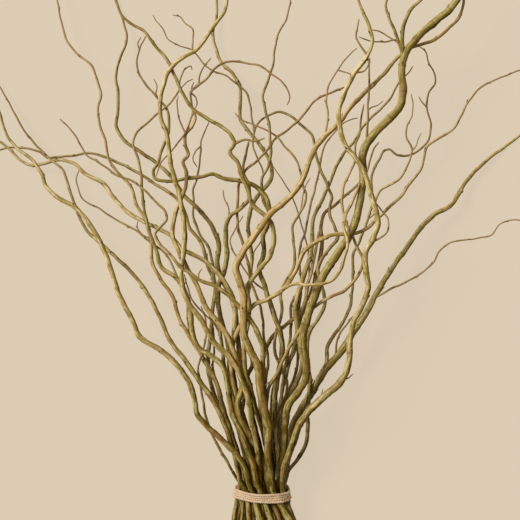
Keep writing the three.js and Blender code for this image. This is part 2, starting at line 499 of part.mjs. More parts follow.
// Pushes one pair of pieces apart where they are nearer than their two radii and the gap.
function press(a, b, order) {
  const flat = a.ends[0].hold + a.ends[1].hold + b.ends[0].hold + b.ends[1].hold > 2;
  for (const [s, t] of touches(a, b, flat)) {
    const at = (piece, share, key) => piece.ends[0][key] * (1 - share) + piece.ends[1][key] * share;
    const need = at(a, s, "radius") + at(b, t, "radius") + stemGap;
    const off = [at(a, s, "x") - at(b, t, "x"), at(a, s, "y") - at(b, t, "y"), at(a, s, "z") - at(b, t, "z")];
    let push;
    if (flat) {
      const side = Math.hypot(off[0], off[1]);
      if (side >= need) continue;
      const above = order[a.layer][b.layer] > 0 ? 1 : -1;
      const short = Math.sqrt(need * need - side * side) - off[2] * above;
      if (short <= 0) continue;
      push = [0, 0, short * above];
    } else {
      const apart = Math.hypot(...off) + 1e-9;
      if (apart >= need) continue;
      push = off.map((value) => (value / apart) * (need - apart));
    }
    const weights = [1 - s, s, t - 1, -t];
    const sum = weights.reduce((total, weight) => total + weight * weight, 0);
    [...a.ends, ...b.ends].forEach((spot, i) => {
      spot.move = spot.move.map((value, axis) => value + (push[axis] * weights[i]) / sum);
      spot.load += Math.abs(weights[i]);
    });
  }
}

function aimHeight(piece, share) {
  return piece.ends[0].aim[2] * (1 - share) + piece.ends[1].aim[2] * share;
}

// Spreads each shift to the neighbouring places, so that a stem bends and doesn't kink.
function ease(line) {
  const shifts = line.spots.map((spot) => [spot.x - spot.aim[0], spot.y - spot.aim[1], spot.z - spot.aim[2]]);
  line.spots.forEach((spot, i) => {
    const before = shifts[Math.max(i - 1, 0)];
    const after = shifts[Math.min(i + 1, shifts.length - 1)];
    const next = shifts[i].map((value, axis) => value + 0.22 * (before[axis] + after[axis] - 2 * value));
    spot.x = spot.aim[0] + next[0] * 0.998;
    spot.y = spot.aim[1] + next[1] * 0.998;
    spot.z = spot.aim[2] + next[2] * 0.998;
  });
}

// A shoot starts on its stem.
function join(line) {
  if (!line.parent) return;
  const from = line.parent.spots[line.join.index];
  const to = line.parent.spots[line.join.index + 1];
  for (const key of ["x", "y", "z"]) line.spots[0][key] = from[key] + (to[key] - from[key]) * line.join.t;
}

// No stem goes under the floor or the twine, and above the tie each keeps its place in the photo.
function rest(spot) {
  spot.z = Math.max(spot.z, spot.radius * 1.02 + spot.floor);
  if (!spot.hold) return;
  spot.x += (sightX(spot.column, spot.z) - spot.x) * spot.hold;
  spot.y += (sightY(spot.row, spot.z) - spot.y) * spot.hold;
}

const upward = new THREE.Vector3(0, 0, 1);
const forward = new THREE.Vector3(0, 1, 0);

// A closed round tube along a row of places, each with its own radius.
function tube(spots, sides, upright) {
  const places = spots.map((spot) => new THREE.Vector3(spot.x, spot.y, spot.z));
  const shape = new THREE.CylinderGeometry(1, 1, spots.length - 1, sides, spots.length - 1);
  shape.deleteAttribute("normal");
  shape.deleteAttribute("uv");
  const frames = bendFrames(places, upright);
  const position = shape.attributes.position;
  for (let i = 0; i < position.count; i++) {
    const ring = Math.round(position.getY(i) + (spots.length - 1) / 2);
    const [side, up] = frames[ring];
    const radius = spots[ring].radius;
    const place = places[ring].clone();
    place.addScaledVector(side, position.getX(i) * radius);
    place.addScaledVector(up, position.getZ(i) * radius);
    position.setXYZ(i, place.x, place.y, place.z);
  }
  return solid(shape);
}

// Two directions square to the line at each place: one leans on the upright, one lies across it.
function bendFrames(places, upright) {
  const last = places.length - 1;
  return places.map((place, i) => {
    const ahead = places[Math.min(i + 1, last)].clone().sub(places[Math.max(i - 1, 0)]).normalize();
    const side = upright.clone().addScaledVector(ahead, -upright.dot(ahead)).normalize();
    return [side, side.clone().cross(ahead)];
  });
}

// Turns a closed geometry into a solid, and a solid back into a geometry.
function solid(geometry) {
  const merged = mergeVertices(geometry, 1e-3);
  const mesh = { numProp: 3, vertProperties: merged.attributes.position.array };
  return new kit.Manifold(new kit.Mesh({ ...mesh, triVerts: new Uint32Array(merged.index.array) }));
}

function geometryOf(body) {
  const mesh = body.getMesh();
  const geometry = new THREE.BufferGeometry();
  geometry.setAttribute("position", new THREE.BufferAttribute(new Float32Array(mesh.vertProperties), 3));
  geometry.setIndex(new THREE.BufferAttribute(new Uint32Array(mesh.triVerts), 1));
  return geometry;
}

// Sections of the stems where a level plane square to +Y cuts them.
function sectionsAt(lines, y) {
  const found = [];
  for (const line of lines) {
    for (let i = 1; i < line.spots.length; i++) {
      const [a, b] = [line.spots[i - 1], line.spots[i]];
      if (line.parent || a.y > y || b.y <= y) continue;
      const t = (y - a.y) / (b.y - a.y);
      const slant = Math.hypot(b.x - a.x, b.y - a.y, b.z - a.z) / (b.y - a.y);
      found.push({ x: a.x + (b.x - a.x) * t, z: a.z + (b.z - a.z) * t, radius: a.radius * slant });
    }
  }
  return found;
}

// The twine: a coil drawn tight round the stems, its loose end laid back over the turns underneath.
function twineSpots(lines, tieY) {
  const perTurn = 36;
  const tail = 7;
  const spots = [];
  for (let i = 0; i <= strandTurns * perTurn + tail; i++) {
    const over = Math.max(i - strandTurns * perTurn, 0) / tail;
    const angle = (200 + (360 * i) / perTurn) * degree;
    const turn = Math.min(i / perTurn, strandTurns) - strandTurns / 2;
    const slant = strandSlant * Math.sin(angle);
    const y = tieY - slant - turn * strandPitch + over * (strandTurns * strandPitch + 5);
    const outward = [Math.cos(angle), Math.sin(angle)];
    let furthest = null;
    for (const level of [y - 2.4, y, y + 2.4]) {
      for (const section of sectionsAt(lines, level)) {
        const reach = section.x * outward[0] + section.z * outward[1] + section.radius;
        if (!furthest || reach > furthest.reach) furthest = { ...section, reach };
      }
    }
    const off = furthest.radius + stemGap * 0.8 + strandThickness / 2 + smooth(0, 0.3, over) * strandPitch;
    spots.push({
      x: furthest.x + outward[0] * off,
      y,
      z: Math.max(furthest.z + outward[1] * off, strandThickness / 2),
      radius: strandThickness / 2,
    });
  }
  return spots;
}

function named(name, body, colour, roughness) {
  const material = new THREE.MeshStandardMaterial({ color: colour, roughness, metalness: 0 });
  const mesh = new THREE.Mesh(geometryOf(body), material);
  mesh.name = name;
  return mesh;
}

// The whole bunch, with the middle of its footprint on the floor at the origin.
function bunch() {
  const slots = packSections();
  const depth = slots.reduce((sum, slot) => sum + slot.z, 0) / slots.length;
  const lines = stems.map((item, i) => stemLine(item, slots[i], i, depth));
  stems.forEach((item, i) => {
    item.shoots.forEach((side, order) => {
      const parents = lines.filter((line) => line.stem === i);
      lines.push(shootLine(side, parents, i, order));
    });
  });
  settle(lines);
  const group = new THREE.Group();
  stems.forEach((item, i) => {
    const own = lines.filter((line) => line.stem === i).map((line) => tube(line.spots, stemSides, upward));
    const body = own.length > 1 ? kit.Manifold.union(own) : own[0];
    group.add(named(item.name, body, barkColours[item.bark], 0.72));
  });
  const coil = twineSpots(lines, sightY(twineRow, depth));
  const twine = tube(coil, strandSides, forward);
  group.add(named("twine", twine, juteColour, 0.95));
  const box = new THREE.Box3().setFromObject(group);
  group.position.set(-(box.min.x + box.max.x) / 2, -(box.min.y + box.max.y) / 2, -box.min.z);
  return group;
}

const kit = await Module();
kit.setup();

export default bunch();
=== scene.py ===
import math
import bpy
import numpy as np
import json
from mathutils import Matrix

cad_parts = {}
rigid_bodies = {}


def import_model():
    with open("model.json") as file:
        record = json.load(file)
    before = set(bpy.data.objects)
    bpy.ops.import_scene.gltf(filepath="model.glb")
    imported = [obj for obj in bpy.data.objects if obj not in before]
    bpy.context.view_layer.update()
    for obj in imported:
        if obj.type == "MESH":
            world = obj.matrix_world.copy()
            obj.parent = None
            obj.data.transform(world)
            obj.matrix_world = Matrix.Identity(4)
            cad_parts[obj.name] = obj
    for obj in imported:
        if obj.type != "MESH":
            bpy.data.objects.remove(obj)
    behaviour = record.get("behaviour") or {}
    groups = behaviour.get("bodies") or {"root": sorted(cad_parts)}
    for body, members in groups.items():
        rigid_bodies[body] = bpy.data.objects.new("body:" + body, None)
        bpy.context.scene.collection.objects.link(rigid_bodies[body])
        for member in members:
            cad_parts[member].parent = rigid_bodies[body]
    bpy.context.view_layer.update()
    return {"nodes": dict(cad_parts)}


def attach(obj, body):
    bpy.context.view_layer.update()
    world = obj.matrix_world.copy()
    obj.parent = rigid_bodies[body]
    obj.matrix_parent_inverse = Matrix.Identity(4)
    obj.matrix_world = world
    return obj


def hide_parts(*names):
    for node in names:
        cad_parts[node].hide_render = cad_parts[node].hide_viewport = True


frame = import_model()
mm = 0.001
fullTurn = 2 * math.pi
tiny = 1e-9  # keeps a division off zero
print("frame loaded:", len(frame["nodes"]), "nodes")

# The photo: mm for each pixel at the middle height, the eye's distance, and where the tie is in it.
photo = dict(pixel=1.25, middleHeight=60, eyeDistance=1850, middle=260, size=520,
             tieRow=495, tieColumn=262, twineRow=492)
# Real sizes of the tied bunch in mm, the same as the solids have.
bunch = dict(tieWidth=62, tieHeight=18, stemGap=0.36, fanHeight=128, fanLength=180,
             settleRows=(5, 75), holdRows=(20, 80))
foot = dict(shares=np.array([1, 0.76, 0.54, 0.34, 0.17, 0.06]), length=128, uneven=5, unevenTurn=2.4,
            spread=1.5, lean=66, leanDepth=15, edgeHold=0.75, sway=1.5, swayTurn=1.7, swayRate=5,
            swelling=0.06)
twine = dict(thickness=2.7, pitch=3, slant=3.2, turns=4, perTurn=36, tail=7, tailReach=5, tailRise=0.3,
             startAngle=200, grip=2.4, lift=0.8)

# Each stem: node, bark, widths in mm from tie to tip, layers from back 0 to front 1, and a route,
# which is a row of places in the photo, column and row, from the tie to the tip.
# A shoot grows on the stem above it, and lies in its layer unless it has layers of its own.
stems = []


def readRoute(text):
    return np.array([pair.split(",") for pair in text.split()], float)


def addStem(name, bark, widths, front, route):
    item = dict(name=name, bark=bark, widths=widths, front=front, route=readRoute(route), shoots=[])
    stems.append(item)


def addShoot(widths, route, front=()):
    stems[-1]["shoots"].append(dict(widths=widths, front=front, route=readRoute(route)))


# Stems that lean out to the left of the tie.
addStem("stem_01", "light", [8, 7.4, 6.5, 6.3, 5.6, 4, 2.2], [1, 0.62, 0.5, 0.36],
    "259.5,495 254,484 247,471 238,456 222,440 205,424 197,413 195,402 190,385 181,370 168,356 "
    "154,346 141,338 132,320 120,296 112,273 104,250 90,225 76,208 54,195 46,186 41,172 33,161 "
    "15,146 5,131 0,114 -7,94 -18,76")
addStem("stem_02", "olive", [6.4, 6.5, 5.8, 4.9, 3.8, 2.9, 1.7], [1, 0.4, 0.15, -0.05],
    "251,495 243,480 236,460 229,437 223,420 215,404 201,383 187,363 170,340 160,318 148,294 "
    "130,271 107,249 86,229 75,206 68,184 64,172 50,159 38,147 23,129 13,110 4,94 -5,80")
addStem("stem_03", "dark", [3.9, 3.6, 3.1, 2.7, 2], [1, 0.5, 0.5, 0.5],
    "245,495 233,472 222,453 213,436 206,418 203,400 200,382 198,368 203,351 206,335 205,318 "
    "201,306")
addStem("stem_04", "light", [7, 6.9, 6.7, 5.6, 5.2, 4.9, 4, 2.7], [0.6, 0.5, 0.5, 0.25, 0.05],
    "254,495 258,475 252,450 246,425 237,396 233,372 232,350 235,326 234,303 226,284 213,268 "
    "200,258 184,250 168,234 149,224 126,211 112,195 104,184 87,175 73,163 60,160 46,163 32,165 "
    "20,160 8,148 0,142 -16,136 -30,138")
addStem("stem_05", "olive", [5.6, 5.2, 5.4, 4.7, 3.8, 3.1, 2], [0.3, 0.25, 0.1, -0.05, -0.1],
    "240,495 240,470 233,445 227,421 217,402 210,380 208,356 211,332 213,306 215,288 207,263 "
    "201,243 189,226 184,210 176,198 155,184 135,171 112,160 88,153 70,156 57,157 48,158 40,152 "
    "22,148 8,148 -10,153")
addShoot([3.2, 3, 2.6, 1.9], "227,421 222,402 217,384 213,368 214,350 214,338 212,322 207,310")
addStem("stem_06", "tan", [6, 5.9, 5.6, 4.5, 3.8, 3.1, 2.7, 1.8], [0.55, 0.34, 0.3, 0.12],
    "246,495 246,475 239,455 232,435 224,410 215,380 205,361 188,334 178,315 173,298 160,278 "
    "152,262 151,244 147,223 137,206 130,185 119,174 109,160 106,143 99,122 98,109 101,95 96,78 "
    "92,66 80,56 68,43 62,24 57,0 53,-20 56,-36")
addShoot([3, 2.2, 1.7], "191,339 188,325 187,312 187,301")
# Stems of the front of the bunch, which cross it from right to left.
addStem("stem_07", "olive", [8, 7.8, 6.7, 6, 5.2, 3.4, 2.7, 1.7], [1, 0.44, 0.44, 0.44],
    "267,495 262,483 254,466 247,448 241,432 231,410 228,388 223,367 213,357 200,349 193,335 "
    "191,318 188,299 179,281 160,265 157,252 150,235 145,214 142,193 141,175 138,158 133,144 "
    "136,133 145,125 156,115 168,105 178,92 181,78 186,68 191,66 192,70")
addShoot([2.8, 2.4, 2.2, 1.5],
    "178,280 172,265 164,252 150,242 135,230 115,219 98,208 82,198 78,187 76,179 79,170")
addShoot([1.8, 1.4], "151,240 142,234 137,227 138,221")
addShoot([1.7, 1.3], "178,92 183,86 187,82 193,79")
addStem("stem_08", "tan", [7.6, 7.8, 6.9, 6, 5.4, 4.3, 3.4, 2.7, 1.7], [1, 0.6, 0.6, 0.6],
    "275,495 270,478 265,464 257,448 247,430 240,418 238,404 242,388 243,374 236,358 228,337 "
    "216,320 205,305 197,286 188,269 179,252 173,238 174,220 180,201 186,185 186,170 183,161 "
    "188,155 185,144 186,134 192,127 195,119 191,103 191,92 199,85 208,77 216,67 227,62 240,62 "
    "250,64 259,65 270,73 281,81 288,91 290,98 287,105")
addShoot([2.2, 1.4], "198,85 200,76 203,68 211,58")
addShoot([2.1, 1.4], "191,93 196,98 197,104 195,109")
addShoot([2.1, 1.4], "186,134 181,124 178,114 177,104 178,96")
addShoot([2.4, 2.2, 1.5], "193,112 190,121 188,128 180,140 172,150 161,163 156,176")
addShoot([1.6, 1.3], "191,92 192,87 194,82")
addStem("stem_09", "light", [7.6, 7.8, 7.2, 6.5, 6, 5.6, 5.2, 4.5, 3.1], [0.6, 0.84, 0.84, 0.84],
    "263,495 262,475 258,452 253,425 248,398 243,383 236,367 229,357 215,343 199,317 187,300 "
    "182,285 181,272 184,250 183,214 178,190 172,170 169,150 167,135 161,118 160,104 163,86 "
    "171,68 184,57 197,49 207,36 217,22 225,10 227,-4 226,-20 232,-36")
addShoot([2.3, 1.8, 1.4], "192,52 193,40 193,30 185,23 180,17 173,15")
# Stems behind them.
addStem("stem_10", "dark", [7, 7.1, 6.7, 6, 5.6, 4.7, 4, 3.1, 2.2], [0.4, 0.42, 0.4, 0.25, -0.02],
    "261,495 264,470 259,445 253,420 248,397 246,378 239,350 237,332 236,316 230,295 221,277 "
    "217,264 219,246 213,228 200,211 184,195 172,178 158,164 142,153 125,141 117,128 118,108 "
    "118,92 116,74 120,58 127,40 124,24 119,10 114,-6 113,-24")
addStem("stem_11", "olive", [6, 6.1, 5.8, 5.6, 6, 5.2, 4.5, 4.3, 3.4, 2.2],
    [0.6, 0.6, 0.75, 0.88, 0.95],
    "279,495 274,470 266,440 256,410 250,385 245,368 244,352 246,336 248,320 249,304 247,289 "
    "258,271 271,254 274,240 271,223 262,213 253,205 248,190 242,177 238,163 230,151 234,143 "
    "230,134 219,125 203,116 192,108 182,92 174,74 167,60 153,43 145,32 133,25 121,14 117,2 "
    "112,-14 116,-30")
addShoot([3.2, 2.8, 1.9], "234,144 245,140 256,141 265,138")
addStem("stem_12", "dark", [6.6, 6.7, 6.7, 6.3, 6, 5.6, 4.5, 3.8, 2.9, 1.8],
    [0.5, 0.6, 0.66, 0.62, 0.55],
    "274,495 279,470 277,440 275,415 275,395 278,376 282,352 281,335 275,318 269,300 264,283 "
    "259,268 264,253 263,238 268,222 269,208 264,194 253,185 240,181 226,179 213,174 200,177 "
    "185,179 165,181 154,177 153,171 158,163 161,152 167,138 169,122 167,110 158,98 147,86 "
    "139,74 137,62 140,48 146,36")
addShoot([3.9, 3.5, 3.7, 3.5, 3, 2.6, 2.2, 1.5],
    "269,211 264,202 262,190 262,178 267,169 271,155 270,140 269,125 265,108 263,97 268,80 "
    "273,65 275,48 278,34 286,20 290,4 291,-12")
addShoot([1.6, 1.2], "155,95 157,87 154,79")
addShoot([1.7, 1.3], "140,50 138,44 141,37")
addShoot([1.9, 1.6, 1.3], "265,238 260,243 256,249 252,256")
addShoot([2.4, 2.1, 1.4],
    "264,292 256,284 249,276 240,262 232,249 230,241 235,230 240,221 243,216")
addStem("stem_13", "tan", [9, 9.9, 10.1, 9, 8.3, 7.6, 6.7, 5.6, 4.7, 4, 2.7],
    [1, 0.75, 0.75, 0.72, 0.6],
    "281,495 272,472 268,448 269,428 264,407 260,388 258,366 250,350 244,335 244,314 243,294 "
    "238,277 236,268 241,255 256,234 271,213 291,196 301,183 307,167 315,149 326,135 338,124 "
    "350,108 363,94 384,74 400,55 413,47 432,41 450,27 460,16 463,5 465,-10 472,-26")
addShoot([2.2, 1.5], "263,387 268,383 272,380")
addShoot([2.2, 1.5], "273,212 276,208 277,206")
addShoot([2.6, 2.4, 1.9, 1.4], "325,136 327,126 328,114 326,99 329,85 338,70 346,58 357,48")
addShoot([1.7, 1.3], "338,70 344,72 350,74 355,77")
# Stems that lean out to the right.
addStem("stem_14", "dark", [9.4, 9.6, 9.8, 10, 10, 9.8, 9.6, 9.4, 9, 8],
    [0.7, 0.82, 0.84, 0.8, 0.68],
    "280,495 280,472 284,448 285,425 289,404 299,391 306,377 305,358 303,338 307,318 314,298 "
    "323,276 336,256 350,234 358,213 361,194 363,172 363,153 370,139 386,122 399,108 403,92 "
    "402,70 405,54 418,37 437,20 452,7 459,-4 466,-20 474,-34")
addShoot([4.3, 3.9, 3.2, 2.4], "404,58 400,46 394,29 388,16 386,6 388,-6 385,-20")
addShoot([5.4, 5.4, 4.3, 2.8], "404,60 402,42 404,24 410,11 420,1 434,-9")
addShoot([3.5, 2.8, 2.4, 1.7], "366,145 367,130 368,116 368,103 369,90 369,76 369,63 367,54")
addShoot([2.4, 1.9, 1.5], "402,48 396,40 384,42 370,41 359,37")
addShoot([1.9, 1.4], "398,42 389,37 379,31 371,30")
addShoot([1.9, 1.5, 1.3], "368,110 372,107 378,105 383,101")
addStem("stem_15", "olive", [8.6, 9, 9.6, 9, 7.6, 6.7, 6, 5.2, 3.8, 2.2],
    [0.4, 0.6, 0.4, 0.1, -0.1],
    "286,495 286,470 289,448 292,428 302,408 313,390 326,369 342,350 353,333 366,313 378,291 "
    "392,268 406,249 418,231 434,215 452,204 459,193 468,179 487,160 506,146 520,135 535,124 "
    "548,112")
addShoot([5, 4.3, 3.7, 3.2, 3.2, 2.6, 2.2, 1.6],
    "325,370 327,358 328,345 334,335 344,320 350,307 352,290 353,268 353,256 359,242 363,232 "
    "368,219 372,205 372,192 371,180 375,167 380,158 384,151 389,149 397,155 406,156 418,151 "
    "427,142 431,126 427,107 428,94 435,83 435,75 428,61 425,51 417,45")
addShoot([2.8, 2.4, 1.9], "336,357 336,347 340,334 347,324 353,316")
addShoot([1.9, 1.4], "334,334 338,329 341,322")
addShoot([1.8, 1.4], "368,219 373,215 376,209")
addShoot([1.7, 1.3], "427,108 422,102 419,97")
addShoot([2.8, 2.2, 1.9, 1.5],
    "376,299 391,289 408,281 425,270 433,263 439,252 449,243 465,240 480,238 491,235 500,224 "
    "512,220 522,221 534,224")
addStem("stem_16", "light", [8.4, 8.8, 9, 7.4, 6.9, 6.7, 6.5, 6, 5.4, 4, 2.5],
    [1, 0.92, 0.92, 0.92],
    "285,495 284,478 286,462 293,443 300,424 309,411 325,396 341,381 349,362 350,342 353,323 "
    "363,304 368,288 366,270 366,252 374,236 378,222 374,204 369,188 364,172 355,157 345,145 "
    "340,126 339,110 344,94 355,73 367,56 372,42 370,28 363,12 357,-3 354,-18 357,-34")
addShoot([2.6, 2.2, 1.7], "370,242 380,238 388,230 388,219 381,210 376,203")
addShoot([3.2, 3, 2.6, 2.4, 1.9, 1.5],
    "374,204 380,191 389,185 399,179 408,164 412,150 406,136 407,126 412,116 413,105 411,94")
addShoot([2.4, 1.7], "356,73 364,71 368,66 370,58")
addShoot([2.6, 2.2, 1.7], "367,55 360,45 356,37 357,28 359,19")
addShoot([1.8, 1.4], "342,380 348,378 353,374")
addShoot([1.8, 1.4], "316,403 321,396 323,389")
addShoot([1.8, 1.5, 1.3], "412,151 416,146 418,140 421,133")
addStem("stem_17", "dark", [4.6, 4.8, 5.6, 5.2, 4.5, 4.3, 3.8, 3.6, 3.1, 2.5, 1.8],
    [0.55, 0.36, 0.36, 0.3],
    "288,495 286,480 290,469 299,457 306,443 308,428 307,412 309,396 310,380 308,362 307,348 "
    "309,334 317,320 324,307 324,294 321,282 318,270 321,260 330,248 338,237 335,228 330,216 "
    "330,206 332,198 328,187 321,171 316,154 314,142 311,134 302,126 291,116 279,112 266,117 "
    "256,126 254,133 253,146 259,161 263,173 262,182")
addShoot([2.6, 2.2, 1.8, 1.3],
    "254,132 252,120 250,104 247,93 238,85 226,76 210,69 203,63 197,55 191,50 178,45 168,39 "
    "163,29 156,21 153,15")
addStem("stem_18", "tan", [4, 4, 4, 4, 3.8, 3.6, 2.9, 2.5, 1.7], [0.45, 0.5, 0.5, 0.5],
    "279,495 284,475 284,458 279,448 276,434 275,420 279,409 286,396 287,382 281,368 275,352 "
    "275,338 278,326 282,312 281,292 285,282 293,269 295,256 293,238 293,224 300,213 305,203 "
    "306,195 303,186 301,175 299,166 293,155 284,146 276,136 264,129 250,123 240,119 235,113")
addShoot([1.8, 1.4], "276,434 274,442 272,448")
addShoot([2.1, 1.7, 1.4], "302,212 302,202 303,194 306,185 310,178")
addStem("stem_19", "tan", [5.6, 5.5, 5.6, 5.4, 5.2, 4.5, 3.8, 3.1, 2.5, 1.7],
    [0.35, 0.8, 0.79, 0.7, 0.5],
    "258,495 254,470 247,440 240,410 234,385 231,362 233,345 238,330 245,317 253,306 268,299 "
    "281,291 292,278 299,263 304,251 315,243 326,237 340,234 352,234 366,229 377,219 388,208 "
    "403,194 410,183 420,170 424,158 427,147 441,137 455,127 461,116 468,102 480,88 500,78 "
    "520,70 536,66")
addShoot([4.1, 3.9, 4.1, 3.9, 2.8],
    "283,290 293,284 306,285 320,284 332,280 340,271 344,259 347,248 347,238 344,229 345,218 "
    "350,206 356,193 360,183", [0.79, 0.93, 0.93, 0.7, 0.6])
addStem("stem_20", "tan", [4.6, 4.4, 4.3, 4.3, 4, 3.6, 3.4, 2.9, 2],
    [0.45, 0.97, 0.96, 0.76, 0.6],
    "270,495 271,470 269,445 266,420 267,400 269,388 277,373 283,360 292,343 301,328 307,316 "
    "316,306 332,296 345,290 354,281 361,270 363,262 357,247 352,235 347,225 343,212 342,199 "
    "344,186 350,172 355,160 355,148 360,132 361,118 364,104")
addStem("stem_21", "olive", [5.6, 5.7, 6.3, 6.3, 6.3, 5.6, 4.5, 3.6, 2.9, 1.8],
    [0.35, 0.46, 0.46, 0.46],
    "282,495 283,470 282,445 282,420 286,401 296,383 302,366 300,345 297,325 296,305 300,288 "
    "305,272 311,254 312,236 313,220 321,202 331,180 338,163 346,150 356,139 362,128 376,113 "
    "390,99 397,86 402,78 409,72 413,66")
addStem("stem_22", "tan", [5, 5.2, 5.6, 5.4, 4.9, 4.3, 3.4], [0.3, 0.4, 0.4, 0.4],
    "271,495 270,470 264,440 260,410 262,380 263,360 268,343 276,333 287,324 298,315 305,303 "
    "307,288 311,272 314,258 317,244 319,231")
addStem("stem_23", "brown", [5.6, 5.9, 6, 5.8, 5.6, 5.6, 4.9, 4, 2.9, 1.8],
    [0.2, 0.32, 0.32, 0.32],
    "275,495 275,465 272,435 272,410 274,390 279,374 290,360 296,343 298,326 303,312 309,298 "
    "314,283 318,268 321,252 322,240 321,226 325,213 336,204 347,194 358,185 366,174 370,160 "
    "374,149 379,142")
addStem("stem_24", "dark", [5.6, 5.9, 6, 5.8, 6, 6.3, 5.6, 4.5, 2.9], [0.35, 0.56, 0.56, 0.56],
    "250,495 250,470 243,445 238,420 232,395 229,370 229,350 225,332 220,316 218,300 219,285 "
    "224,271 227,256 226,240 226,226 230,216 240,209 248,201 249,187 243,172 245,158 249,141")
addShoot([1.9, 1.4], "228,219 228,206 224,197 223,190")
addStem("stem_25", "olive", [6, 6.1, 6.3, 6, 5.2, 4, 3.1, 2.7, 2.5, 1.7],
    [0.6, 0.92, 0.8, 0.6, 0.5],
    "268,495 270,470 266,440 264,410 264,385 263,362 263,348 258,334 250,319 240,307 230,297 "
    "215,286 200,280 190,273 180,267 170,254 159,243 155,234 160,227 167,219 165,211 157,203 "
    "147,193 137,184 128,179 116,175 108,169 98,162 88,156 81,146 74,134 68,127 60,119")
addShoot([1.9, 1.6], "198,279 199,273 202,269")
addStem("stem_26", "olive", [5.2, 5.2, 5.2, 4.9, 4.7, 5.2, 4.9, 4.5, 3.8, 2.7],
    [0.15, 0.3, 0.25, 0],
    "254,495 252,470 246,445 241,420 244,398 247,378 252,364 250,350 245,335 245,318 247,300 "
    "250,284 251,268 252,256 250,242 248,224 252,206 260,193 268,184 272,174 270,162 262,148 "
    "250,133 241,120 240,104 240,88 234,75 221,62 215,46 213,32 216,20 217,0 220,-18")
addStem("stem_27", "dark", [5.2, 5.2, 5.6, 4.9, 4, 3.4, 2.9, 2.5, 1.5], [0.2, 0.38, 0.38, 0.38],
    "248,495 246,470 241,440 235,415 230,390 224,365 222,345 220,328 219,312 218,297 215,282 "
    "213,268 211,256 208,246 202,238 197,228 193,214 194,200 193,190 197,178 199,166 201,150 "
    "201,142 205,131 209,122")
addShoot([2.1, 1.7, 1.5], "201,146 195,152 193,159 197,167")
addShoot([2.6, 2.2, 1.6], "223,348 220,334 212,321 203,313 193,301 188,288 184,274")
# Thin stems that show only between the others.
addStem("stem_28", "tan", [4, 4, 4, 3.4, 2.9, 2.5, 1.8, 1.2], [0.1, 0.1, 0],
    "272,495 279,465 278,435 279,410 284,385 290,362 295,340 299,320 305,300 309,282 309,262 "
    "308,250 304,234 299,216 293,199 285,184 277,172 272,165")
addStem("stem_29", "brown", [4, 4, 3.8, 3.6, 3.4, 3.1, 2.7, 2.2, 1.6], [0.1, 0.2, 0.05],
    "279,495 281,465 280,435 283,410 290,388 297,368 298,345 298,322 300,300 301,282 300,268 "
    "299,255 301,243 305,232 308,218 311,203 315,188 319,172 321,160 323,149 329,139 337,130 "
    "344,123 352,119 358,118")
addStem("stem_30", "brown", [4.4, 4.2, 4, 3.4, 3.4, 3.6, 3.4, 3.1, 2.9, 2.5],
    [0.2, 0.48, 0.48, 0.48],
    "264,495 269,465 266,435 263,405 266,380 268,358 264,338 263,322 260,306 255,292 250,280 "
    "249,268 246,256 243,243 238,228 237,214 238,198 240,180 245,171 258,160 268,149 273,141 "
    "290,128 298,121 308,109 314,101 328,94 345,87")
addStem("stem_31", "olive", [4.6, 4.6, 4.5, 4, 3.4, 2.2], [0.15, 0.4, 0.38, 0.38],
    "276,495 277,465 279,435 281,405 283,380 287,358 290,338 291,318 291,306 296,295 301,283 "
    "306,268 310,262")


def along(values, share):
    # Value between the entries of a short list, at a share from 0 to 1 of its length.
    return np.interp(np.clip(share, 0, 1) * (len(values) - 1), np.arange(len(values)), values)


def smooth(start, end, value):
    # From 0 at the start to 1 at the end, level at both.
    t = np.clip((value - start) / (end - start), 0, 1)
    return t * t * (3 - 2 * t)


def sight(column, row, height):
    # The place at a height that the photo shows here: nearer the eye is closer to the middle.
    away = photo["middleHeight"] + photo["eyeDistance"] - height
    scale = photo["pixel"] * away / photo["eyeDistance"]
    return (column - photo["middle"]) * scale, (photo["middle"] - row) * scale


def shares(route):
    run = np.concatenate([[0], np.cumsum(np.hypot(*np.diff(route, axis=0).T))])
    return run / run[-1]


packing = dict(steps=900, gatherSteps=600, girth=0.53, depth=40, press=0.3, pull=0.04, sink=0.03)


def packSections():
    # Round sections pressed into a flat oval: overlaps push apart while a pull gathers them.
    front = np.array([item["front"][0] for item in stems])
    x = (np.array([item["route"][0][0] for item in stems]) - photo["tieColumn"]) * photo["pixel"]
    aim = x.copy()
    z = (front - 0.5 * (front.max() + front.min())) * packing["depth"]
    radius = np.array([item["widths"][0] for item in stems]) * packing["girth"] + bunch["stemGap"] / 2
    touch = radius[:, None] + radius[None, :]
    np.fill_diagonal(touch, 0)
    side = bunch["tieWidth"] / 2 - radius
    for step in range(packing["steps"]):
        gather = 1 if step < packing["gatherSteps"] else 0
        dx = x[:, None] - x[None, :]
        dz = z[:, None] - z[None, :]
        apart = np.hypot(dx, dz) + tiny
        press = np.maximum(touch - apart, 0) * packing["press"] / apart
        x = np.clip(x + (dx * press).sum(1) + (aim - x) * packing["pull"] * gather, -side, side)
        z = (z + (dz * press).sum(1)) * (1 - packing["sink"] * gather)
    z += twine["thickness"] + bunch["stemGap"] - (z - radius).min()
    return x, z


def layerHeight(slotHeight, radius, front, distance):
    # Height of a layer, which opens like a fan with the distance from the tie.
    opening = 1 - np.exp(-np.maximum(distance, 0) / bunch["fanLength"])
    return slotHeight * (1 - opening) + (radius + front * bunch["fanHeight"]) * opening


